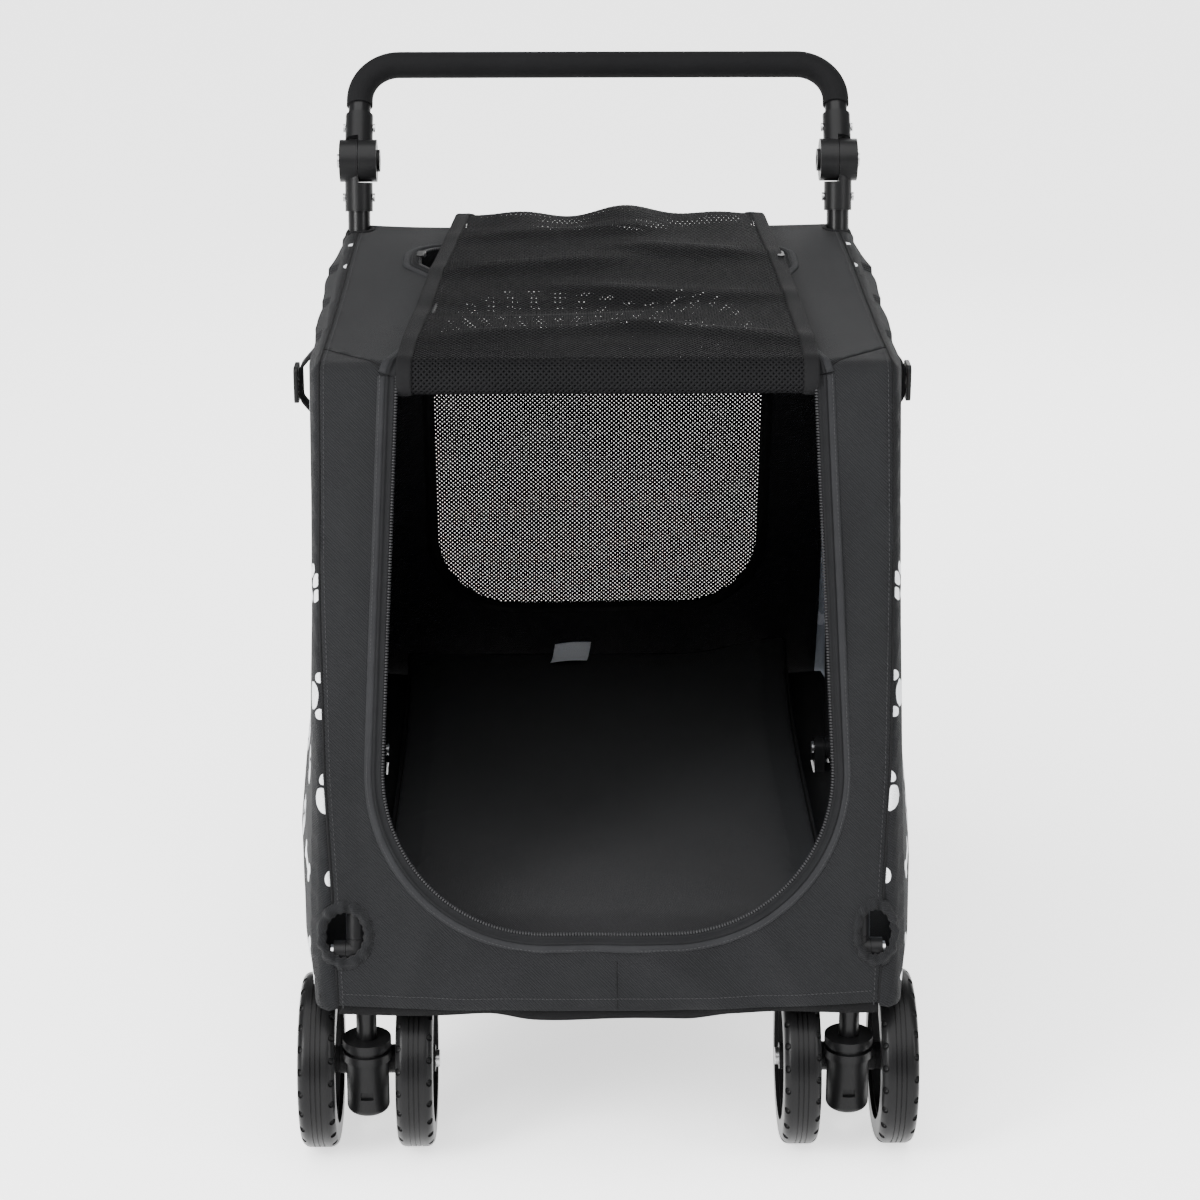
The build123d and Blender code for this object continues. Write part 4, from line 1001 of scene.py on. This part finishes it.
def side_swell(y, z):
    """How far the side stands out past the cabin's half width."""
    full = broken_line(SIDE_SWELL, z - HEM_Z)
    front = FOOT_Y + (z - HEM_Z) * tan(FRONT_LEAN)
    rear = REAR_FOOT_Y - (z - HEM_Z) * tan(REAR_PITCH)
    share = (2 * y - front - rear) / (rear - front)
    wave = 0.0022 * sin(16 * y + 4 * z) * sin(13 * z + 2 * y) + 0.0015 * sin(37 * y - 11 * z)
    low = 1 - ramp(z - HEM_Z, 0.0, 0.12)
    wave += 0.004 * low * sin(27 * y + 0.7)
    return max(0.0, 1 - share ** 4) * full + max(0.0, 1 - share * share) * wave


def side_panel(side, name):
    points, normals, margins = side_profile()
    outer = [p + n * m for p, n, m in zip(points, normals, margins)][::3]
    foot = [(y, HEM_Z) for y in np.linspace(outer[-1].x, outer[0].x, 110)[1:-1]]
    outline = [tuple(p) for p in outer] + foot
    middle, half = HOLES[side]

    def cut_at(t_middle, u_middle, u_half, t_half, count):
        """A cut of the front or roof, carried round the edge onto the side's flat cloth."""
        loop = []
        for u, t in oval_loop(u_middle, t_middle, u_half, t_half, count):
            (y, z), heading = CABIN.at(t)
            normal = Vector((-sin(heading), cos(heading)))
            loop.append(tuple(Vector((y, z)) + normal * (EDGE_FLAT + EDGE_TURN - u - EDGE_R)))
        return loop

    cuts = [cut_at(HOLE_T, middle, half, HOLE_HALF_H, 40)]
    cuts.append(cut_at(TUBE_T, TUBE_U, TUBE_HOLE_R, TUBE_HOLE_R, 28))
    flat, faces = flat_triangles(outline, cuts, GRID)
    _, index = nearest(flat, array_of(points))
    verts = []
    for (y, z), i in zip(flat, index):
        normal, q = normals[i], points[i]
        away = Vector((y, z)) - q
        over = away.dot(normal)
        if over <= 0:
            verts.append(Vector((side * (CABIN_HALF + side_swell(y, z)), y, z)))
            continue
        turn = min(over / EDGE_R, pi / 2)
        slide = away - normal * over
        at = q + slide + normal * (EDGE_R * sin(turn))
        x = CABIN_HALF - EDGE_R * (1 - cos(turn)) - max(0.0, over - EDGE_TURN)
        verts.append(Vector((side * x, at.x, at.y)))
    if side < 0:
        faces = [face[::-1] for face in faces]
    piece = paint(new_piece(f"{name}_side_cloth", verts, faces, flat), PRINT, PRINT_BACK)
    thicken(piece, CLOTH).modifiers["thickness"].material_offset = 1
    soft_ride(piece, "print_cloth", f"{name}_side_panel")


def seams():
    """Raised seams between the panels, with a row of stitches beside each."""
    hole_low, hole_high = HOLE_T - 1.2 * HOLE_HALF_H, HOLE_T + 1.2 * HOLE_HALF_H
    tube_low, tube_high = TUBE_T - TUBE_HOLE_R, TUBE_T + TUBE_HOLE_R
    spots = np.arange(0.002, CABIN.length, 0.005)
    for side, name in SIDES:
        lines, stitched = [], []
        for low, high in ((0.0, hole_low), (hole_high, tube_low), (tube_high, CABIN.length)):
            run = [t for t in spots if low <= t <= high]
            route = [((side * seam_half(t), t), pi / 2) for t in run]
            lines.append(sweep("seam", skin_frames(route, on_skin), ring_section(0.0014, 0.75)))
            stitched += [((side * (seam_half(t) - 0.0055), t), pi / 2) for t in run]
        sew(join(f"{name}_side_seam", lines), RIBBON, "oxford_cloth")
        stitches(f"{name}_side_stitch", stitched, on_skin, 0.0003)
        inner, outer = DOOR_TOP_HALF + 0.004, SEAM_HALF - 0.001
        ends = [(side * inner, roof_seam_t(inner - 0.001)), (side * outer, roof_seam_t(outer))]
        seam(f"{name}_roof_seam", RoundedPath(ends, []).route(0.004), on_skin, 0.0011, 0.7)
    rear = [((u, REAR_T), 0.0) for u in np.linspace(-0.279, 0.279, 120)]
    seam("rear_top_seam", rear, on_skin, 0.0013)
    hem = [((u, hem_t(u) + 0.012), 0.0) for u in np.arange(-0.268, 0.268, STITCH_PITCH)]
    stitches("front_hem_stitch", hem, on_front, 0.0003)


def on_skin(u, t, out=0.0):
    """The skin with the folds of whichever panel lies there."""
    if t < roof_seam_t(u):
        return on_front(u, t, out)
    return on_roof(u, t, out) if t < REAR_T else on_rear(u, t, out)


def tube_collars():
    """Bound edges round the uprights where they come through the cloth."""
    for side, name in SIDES:
        loop = oval_loop(side * TUBE_U, TUBE_T, TUBE_HOLE_R, TUBE_HOLE_R)
        route = [(spot, 2 * pi * i / len(loop) + pi / 2) for i, spot in enumerate(loop)]
        seam(f"{name}_tube_collar", route, on_roof, 0.0024, 0.8, closed=True)


# Mesh door, thrown back over the roof
FLAP = RoundedPath(
    [
        (CORNER_Y + 0.045, CORNER_Z - 0.031),
        (FOOT_Y + (CORNER_Z - 0.031 - HEM_Z) * tan(FRONT_LEAN) - 0.002, CORNER_Z - 0.031),
        (CORNER_Y - 0.002, CORNER_Z + 0.002),
        (ROOF_REAR_Y + 0.004, ROOF_REAR_Z + 0.004),
        (ROOF_REAR_Y + 0.016, ROOF_REAR_Z - 0.040),
    ],
    [0.010, 0.017, 0.022],
)
FLAP_TOP_T = FLAP.start_of(4)
FLAP_REAR_T = FLAP.start_of(5)
FLAP_STOPS = (0.0, FLAP_TOP_T, FLAP_TOP_T + 0.30, FLAP_REAR_T, FLAP.length)
FLAP_LEFT = tuple(zip(FLAP_STOPS, (0.2085, 0.2065, 0.186, 0.163, 0.135)))
FLAP_RIGHT = tuple(zip(FLAP_STOPS, (0.2095, 0.2105, 0.203, 0.190, 0.160)))
FLAP_CREASES = (
    ((-0.16, FLAP_TOP_T + 0.06), (0.06, FLAP_TOP_T + 0.10), 0.020, 0.007),
    ((0.00, FLAP_TOP_T + 0.11), (0.20, FLAP_TOP_T + 0.05), 0.018, 0.006),
    ((-0.19, FLAP_TOP_T + 0.17), (0.10, FLAP_TOP_T + 0.22), 0.026, -0.006),
    ((-0.05, FLAP_TOP_T + 0.27), (0.19, FLAP_TOP_T + 0.21), 0.022, 0.007),
    ((-0.17, FLAP_TOP_T + 0.31), (0.02, FLAP_TOP_T + 0.36), 0.022, 0.007),
    ((0.02, FLAP_TOP_T + 0.41), (0.18, FLAP_TOP_T + 0.37), 0.020, 0.006),
    ((-0.15, FLAP_TOP_T + 0.44), (0.05, FLAP_TOP_T + 0.47), 0.018, 0.006),
)


def flap_out(u, t):
    """Height of the slack net over the roof's line."""
    on_top = ramp(t, FLAP_TOP_T, FLAP_TOP_T + 0.05)
    sag = -0.010 * sin(pi * ramp(t, FLAP_TOP_T, FLAP_TOP_T + 0.46)) * (1 - min(1.0, (u / 0.21) ** 2))
    folds = sum(crease(u, t, *fold) for fold in FLAP_CREASES)
    back = ramp(t, FLAP_REAR_T - 0.10, FLAP_REAR_T)
    ripple = back * (0.0045 + 0.0060 * sin(26 * u + 0.5) * sin(11 * u + 1.2) + 0.0028 * sin(57 * u))
    return on_top * (sag + folds + 0.003) + ripple + 0.0012


def on_flap(u, t, out=0.0):
    (y, z), heading = FLAP.at(t)
    rise = out + flap_out(u, t)
    return Vector((u, y - sin(heading) * rise, z + cos(heading) * rise))


def flap_outline(low, high, inset=0.0):
    right = [(broken_line(FLAP_RIGHT, t) - inset, t) for t in np.linspace(low, high, 70)]
    left = [(-broken_line(FLAP_LEFT, t) + inset, t) for t in np.linspace(high, low, 70)]
    return right + left


def flap_edge(side, step=0.006):
    stops = FLAP_RIGHT if side > 0 else FLAP_LEFT
    route = []
    for t in np.arange(0.0, FLAP.length + step / 2, step):
        slope = (broken_line(stops, t + step) - broken_line(stops, t - step)) / (2 * step)
        route.append(((side * broken_line(stops, t), t), atan2(1.0, side * slope)))
    return route


def mesh_door():
    flap = net("mesh_door_net", flap_outline(0.0, FLAP.length - 0.002), on_flap, 0.008)
    sew(flap, NET, "net_cloth", "mesh_door")
    under = net("mesh_door_turned_edge", flap_outline(0.004, FLAP_TOP_T + 0.085, 0.004),
                lambda u, t, out: on_flap(u + 0.0013, t, out - 0.0022), 0.010)
    sew(under, NET, "net_cloth")
    low, side_high, high, slope = -0.0012, 0.0014, 0.0020, 0.0025
    for side, name in SIDES:
        near, far = sorted((-side * 0.004, side * 0.0115))
        section = [(near, low), (near, side_high), (near + slope, high)]
        section += [(far - slope, high), (far, side_high), (far, low)]
        band = sweep(f"{name}_mesh_door_ribbon", skin_frames(flap_edge(side), on_flap), section)
        sew(band, RIBBON, "zip_tape")


# Floor cushion, lining and tag
CUSHION_LOW, CUSHION_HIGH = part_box("floor_cushion")


def cushion_point(a, b, upper):
    """Point of the pad: a and b run from -1 to 1 across and along it."""
    half = (CUSHION_HIGH - CUSHION_LOW) / 2
    middle = (CUSHION_HIGH + CUSHION_LOW) / 2
    edge = max(abs(a), abs(b))
    draw_x = 0.007 * (1 - b * b)
    draw_y = 0.007 * (1 - a * a)
    x = middle.x + a * (half.x - draw_x)
    y = middle.y + b * (half.y - draw_y)
    full = sqrt(max(0.0, 1 - edge ** 9))
    thick = CUSHION_HIGH.z - CUSHION_LOW.z
    rim = CUSHION_LOW.z + 0.40 * thick
    if not upper:
        return Vector((x, y, rim - (rim - CUSHION_LOW.z) * full))
    crown = 0.70 + 0.22 * (1 - a ** 4) * (1 - b ** 4)
    return Vector((x, y, rim + (CUSHION_HIGH.z - rim) * full * crown + cushion_lift(a, b)))


def cushion_lift(a, b):
    """How far the pad's rear edge climbs the rear wall, most at its right corner."""
    return 0.012 * ramp(b, 0.86, 1.0) + 0.020 * ramp(a, 0.45, 1.0) * ramp(b, 0.45, 0.95)


VOXEL = 0.006
AIR = 4.0
SWELL_STEPS = 20
SWELL_REACH = 0.009


def mesh_of(piece):
    """The piece's mesh with its modifiers applied."""
    return bpy.data.meshes.new_from_object(piece.evaluated_get(bpy.context.evaluated_depsgraph_get()))


def points_of(mesh):
    flat = np.empty(3 * len(mesh.vertices))
    mesh.vertices.foreach_get("co", flat)
    return flat.reshape(-1, 3)


def puffed(verts, faces, rim):
    """Points and faces of a pad after a short cloth simulation with air inside. Its rim stays in place."""
    rough = new_piece("pad_rough", verts, faces)
    voxels = rough.modifiers.new("voxels", "REMESH")
    voxels.mode = "VOXEL"
    voxels.voxel_size = VOXEL
    soft = add_object("pad_soft", mesh_of(rough))
    before = points_of(soft.data)
    swelling = soft.modifiers.new("swelling", "CLOTH")
    swelling.settings.use_pressure = True
    swelling.settings.uniform_pressure_force = AIR
    swelling.settings.effector_weights.gravity = 0.0
    for step in range(1, SWELL_STEPS + 1):
        bpy.context.scene.frame_set(step)
    swollen = mesh_of(soft)
    shift = points_of(swollen) - before
    bpy.context.scene.frame_set(1)
    reach = np.linalg.norm(shift, axis=1, keepdims=True)
    shift *= np.minimum(1.0, SWELL_REACH / np.maximum(reach, 1e-9))
    from_rim = nearest(before[:, :2], np.array([(p.x, p.y) for p in rim]))[0]
    shift *= np.clip(from_rim / 0.025, 0.0, 1.0)[:, None]
    after = before + shift
    after[:, 2] = np.maximum(after[:, 2], CUSHION_LOW.z)
    faces = [tuple(face.vertices) for face in swollen.polygons]
    for piece in (soft, rough):
        bpy.data.objects.remove(piece, do_unlink=True)
    return [Vector(p) for p in after], faces


def floor_cushion():
    wide, long = 56, 92

    def along(i, count):
        """From -1 to 1, with closer steps towards both ends."""
        return sin(pi * (i / count - 0.5))

    verts, faces, index = [], [], {}
    for upper in (True, False):
        for i in range(wide + 1):
            for j in range(long + 1):
                spot = (i, j, upper or i in (0, wide) or j in (0, long))
                if spot not in index:
                    index[spot] = len(verts)
                    verts.append(cushion_point(along(i, wide), along(j, long), upper))
                index[(i, j, upper)] = index[spot]
    for i in range(wide):
        for j in range(long):
            corners = ((i, j), (i + 1, j), (i + 1, j + 1), (i, j + 1))
            faces.append(tuple(index[(*corner, True)] for corner in corners))
            faces.append(tuple(index[(*corner, False)] for corner in reversed(corners)))
    loop = [cushion_point(along(i, wide), -1, True) for i in range(wide)]
    loop += [cushion_point(1, along(j, long), True) for j in range(long)]
    loop += [cushion_point(-along(i, wide), 1, True) for i in range(wide)]
    loop += [cushion_point(-1, -along(j, long), True) for j in range(long)]
    verts, faces = puffed(verts, faces, loop)
    pad = paint(new_piece("floor_cushion_pad", verts, faces, [(v.x, v.y) for v in verts]), CUSHION)
    smooth = pad.modifiers.new("smooth", "SUBSURF")
    smooth.levels = smooth.render_levels = 1
    lay(pad, "cushion_cloth", "floor_cushion")
    middle = sum(loop, Vector()) / len(loop)
    up = Vector((0, 0, 1))
    frames = [(p, Vector((p.x - middle.x, p.y - middle.y, 0)).normalized(), up) for p in loop]
    piping = paint(sweep("cushion_piping", frames, ring_section(0.0028), closed=True), RIBBON)
    lay(piping, "cushion_cloth")


TAG_WIDE = 0.046
TAG_LONG = 0.040
TAG_BACK = 0.068  # the tag lies at the pad's rear edge, further back than its CAD solid
TAG_LIFT = 0.003


def care_tag():
    low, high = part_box("care_tag")
    wide, long = 10, 14
    verts, uvs = [], []
    for j in range(long + 1):
        for i in range(wide + 1):
            a, b = i / wide, j / long
            x = mix(low.x, high.x, a) + 0.006 * (b - 0.5)
            y = mix(low.y, high.y, b) + 0.008 * (a - 0.5) + TAG_BACK
            z = low.z + TAG_LIFT + 0.004 * (1 - b) ** 2 + 0.014 * b ** 2 + 0.0015 * sin(pi * a)
            verts.append(Vector((x, y, z)))
            uvs.append((a * TAG_WIDE, b * TAG_LONG))
    tag = paint(new_piece("care_tag_cloth", verts, grid_faces(long + 1, wide + 1), uvs), TAG)
    thicken(tag, 0.0006)
    lay(tag, "tag_cloth", "care_tag")


def floor_lining():
    """Cloth floor of the cabin, from side to side over the board and rails."""
    board_low, board_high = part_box("floor_board")
    lug_low, lug_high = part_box("upright_lugs")
    half = CABIN_HALF - 0.006
    front, back = board_low.y + 0.040, board_high.y

    def edge(y):
        """Half width of the lining, which reaches out to the sides where they swell."""
        return half + max(0.0, side_swell(y, board_high.z) - 0.002)

    ends = np.linspace(-1, 1, 60)
    sides = np.linspace(front, back, 90)[1:-1]
    outline = [(share * edge(front), front) for share in ends] + [(edge(y), y) for y in sides]
    outline += [(-share * edge(back), back) for share in ends] + [(-edge(y), y) for y in reversed(sides)]
    gap = 0.001
    lug_thickness = 0.012
    lug_inner = abs(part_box("left_upright")[1].x) - lug_thickness - 2 * gap
    cuts = []
    for side in (-1, 1):
        near, far = side * lug_inner, side * (half - 0.004)
        y_from, y_to = lug_low.y - gap, lug_high.y + gap
        cuts.append([(near, y_from), (far, y_from), (far, y_to), (near, y_to)])

    def place(u, y):
        side = ramp(abs(u), 0.246, half)
        z = board_high.z + 0.0003 + 0.004 * side + 0.0015 * side * sin(40 * y)
        return Vector((u, y, z))

    piece = thicken(paint(cloth("floor_lining", outline, cuts, place, 0.012), LINING), 0.0002)
    lay(piece, "oxford_cloth")


# Side straps
def side_straps():
    low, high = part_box("side_straps")
    strap_y = (low.y + high.y) / 2
    half = (high.y - low.y) / 2
    out = high.x - 0.0016
    top, foot = high.z, low.z
    tall = top - foot
    sewn = [mix(foot, top, share) for share in (0, 0.1, 0.2, 0.8, 0.9, 1)]
    widths = (strap_y - half, strap_y, strap_y + half)
    base = CABIN_HALF + max(side_swell(y, z) for y in widths for z in sewn) + 0.0014
    points = [
        (base, top), (base, top - 0.18 * tall), (out, top - 0.36 * tall), (out, top - 0.64 * tall),
        (base, top - 0.82 * tall), (base, foot),
    ]
    path = RoundedPath(points, [0.010, 0.012, 0.012, 0.010])
    section = [(-half, -0.0012), (-half + 0.001, 0.0018), (half - 0.001, 0.0018), (half, -0.0012)]
    for side, name in SIDES:
        frames = []
        for (x, z), heading in path.route(0.003):
            sway = 0.004 * sin(pi * ramp(z, foot, top))
            away = Vector((side * sin(heading), 0, -cos(heading)))
            frames.append((Vector((side * x, strap_y + sway, z)), Vector((0, 1, 0)), away))
        web = sweep(f"{name}_strap_web", frames, section)
        sew(web, WEBBING, "webbing", *(["side_straps"] if side < 0 else []))


def rounded_loop(half_wide, half_tall, up, radius, step=0.0015):
    """Closed loop of a rounded rectangle whose middle is at (0, up)."""
    low, high = up - half_tall, up + half_tall
    points = [(0, low), (half_wide, low), (half_wide, high), (-half_wide, high), (-half_wide, low), (0, low)]
    return RoundedPath(points, [radius] * 4).points(step)[:-1]


def strap_buckles():
    """Ladder locks on the straps' outer runs, riding on the base with the straps."""
    low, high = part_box("strap_buckles")
    middle = (low + high) / 2
    half_wide, half_tall = (high.y - low.y) / 2, (high.z - low.z) / 2
    thick, bar = 0.005, 0.006
    slot_tall = (2 * half_tall - 3 * bar) / 2
    slot_up = (slot_tall + bar) / 2
    slots = [rounded_loop(half_wide - bar, slot_tall / 2, way * slot_up, 0.0015) for way in (-1, 1)]
    pair = []
    for side, _ in SIDES:
        plate = cloth("buckle", rounded_loop(half_wide, half_tall, 0.0, bar), slots,
                      lambda y, z: Vector((side * high.x, middle.y + side * y, middle.z + z)), 0.002)
        pair.append(plate)
    buckles = thicken(join("strap_buckle_pair", pair), thick)
    rounded_edges(buckles, 0.0009)
    sew(buckles, PLASTIC, "black_plastic", "strap_buckles")


# Stage
ROOM_LIGHT = 0.35
BACKDROP_LIGHT = 2.9


def set_stage():
    size = 30.0
    corners = [(-size, -size, 0), (size, -size, 0), (size, size, 0), (-size, size, 0)]
    floor = new_piece("studio_floor", corners, [(0, 1, 2, 3)])
    pale = Shader("pale_floor")
    cloudy = pale.noise(0.6, 2.0)
    pale.set(Base_Color=pale.tint(cloudy, (0.90, 0.90, 0.90), (0.93, 0.93, 0.93)), Roughness=0.7)
    pale.set(Emission_Color=(1.0, 1.0, 1.0, 1.0), Emission_Strength=1.4)
    paint(floor, pale.material)
    world = bpy.data.worlds.new("studio")
    world.use_nodes = True
    backdrop = world.node_tree.nodes["Background"]
    backdrop.inputs["Color"].default_value = (1.0, 1.0, 1.0, 1.0)
    rays = world.node_tree.nodes.new("ShaderNodeLightPath")
    strength = world.node_tree.nodes.new("ShaderNodeMapRange")
    strength.inputs["To Min"].default_value = ROOM_LIGHT
    strength.inputs["To Max"].default_value = BACKDROP_LIGHT
    world.node_tree.links.new(rays.outputs["Is Camera Ray"], strength.inputs["Value"])
    world.node_tree.links.new(strength.outputs[0], backdrop.inputs["Strength"])
    bpy.context.scene.world = world
    sky = bpy.data.lights.new("sky", "SUN")
    sky.energy = 6.0
    sky.angle = radians(75)
    dome = add_object("sky", sky)
    dome.rotation_euler = Vector((0.22, 0.42, -1.0)).to_track_quat("-Z", "Y").to_euler()
    for name, place, aim, size_x, size_y, watts in (
        ("key", (-2.2, -2.2, 1.7), (-0.1, -0.3, 0.5), 1.0, 1.8, 150.0),
        ("fill", (2.2, -1.8, 1.6), (0, 0, 0.5), 0.8, 1.8, 45.0),
        ("back", (0.8, 3.0, 2.0), (0, 0, 0.5), 2.0, 1.6, 40.0),
    ):
        light = bpy.data.lights.new(name, "AREA")
        light.shape = "RECTANGLE"
        light.size, light.size_y, light.energy = size_x, size_y, watts
        lamp = add_object(name, light)
        lamp.location = place
        lamp.rotation_euler = (Vector(aim) - Vector(place)).to_track_quat("-Z", "Y").to_euler()


def set_camera():
    camera = bpy.data.cameras.new("camera")
    camera.lens = CAMERA_LENS
    camera.sensor_width = CAMERA_SENSOR
    camera.clip_end = 100.0
    holder = add_object("camera", camera)
    holder.location = CAMERA_PLACE
    holder.rotation_euler = (pi / 2 - CAMERA_DOWN, 0.0, -CAMERA_RIGHT)
    bpy.context.scene.camera = holder


set_camera()
set_stage()
dress_frame()
front_panel()
front_trim()
front_zip()
hole_rims()
roof_panel()
zip_pullers()
rear_panel()
for which_side, side_name in SIDES:
    side_panel(which_side, side_name)
seams()
tube_collars()
mesh_door()
floor_cushion()
care_tag()
floor_lining()
side_straps()
strap_buckles()
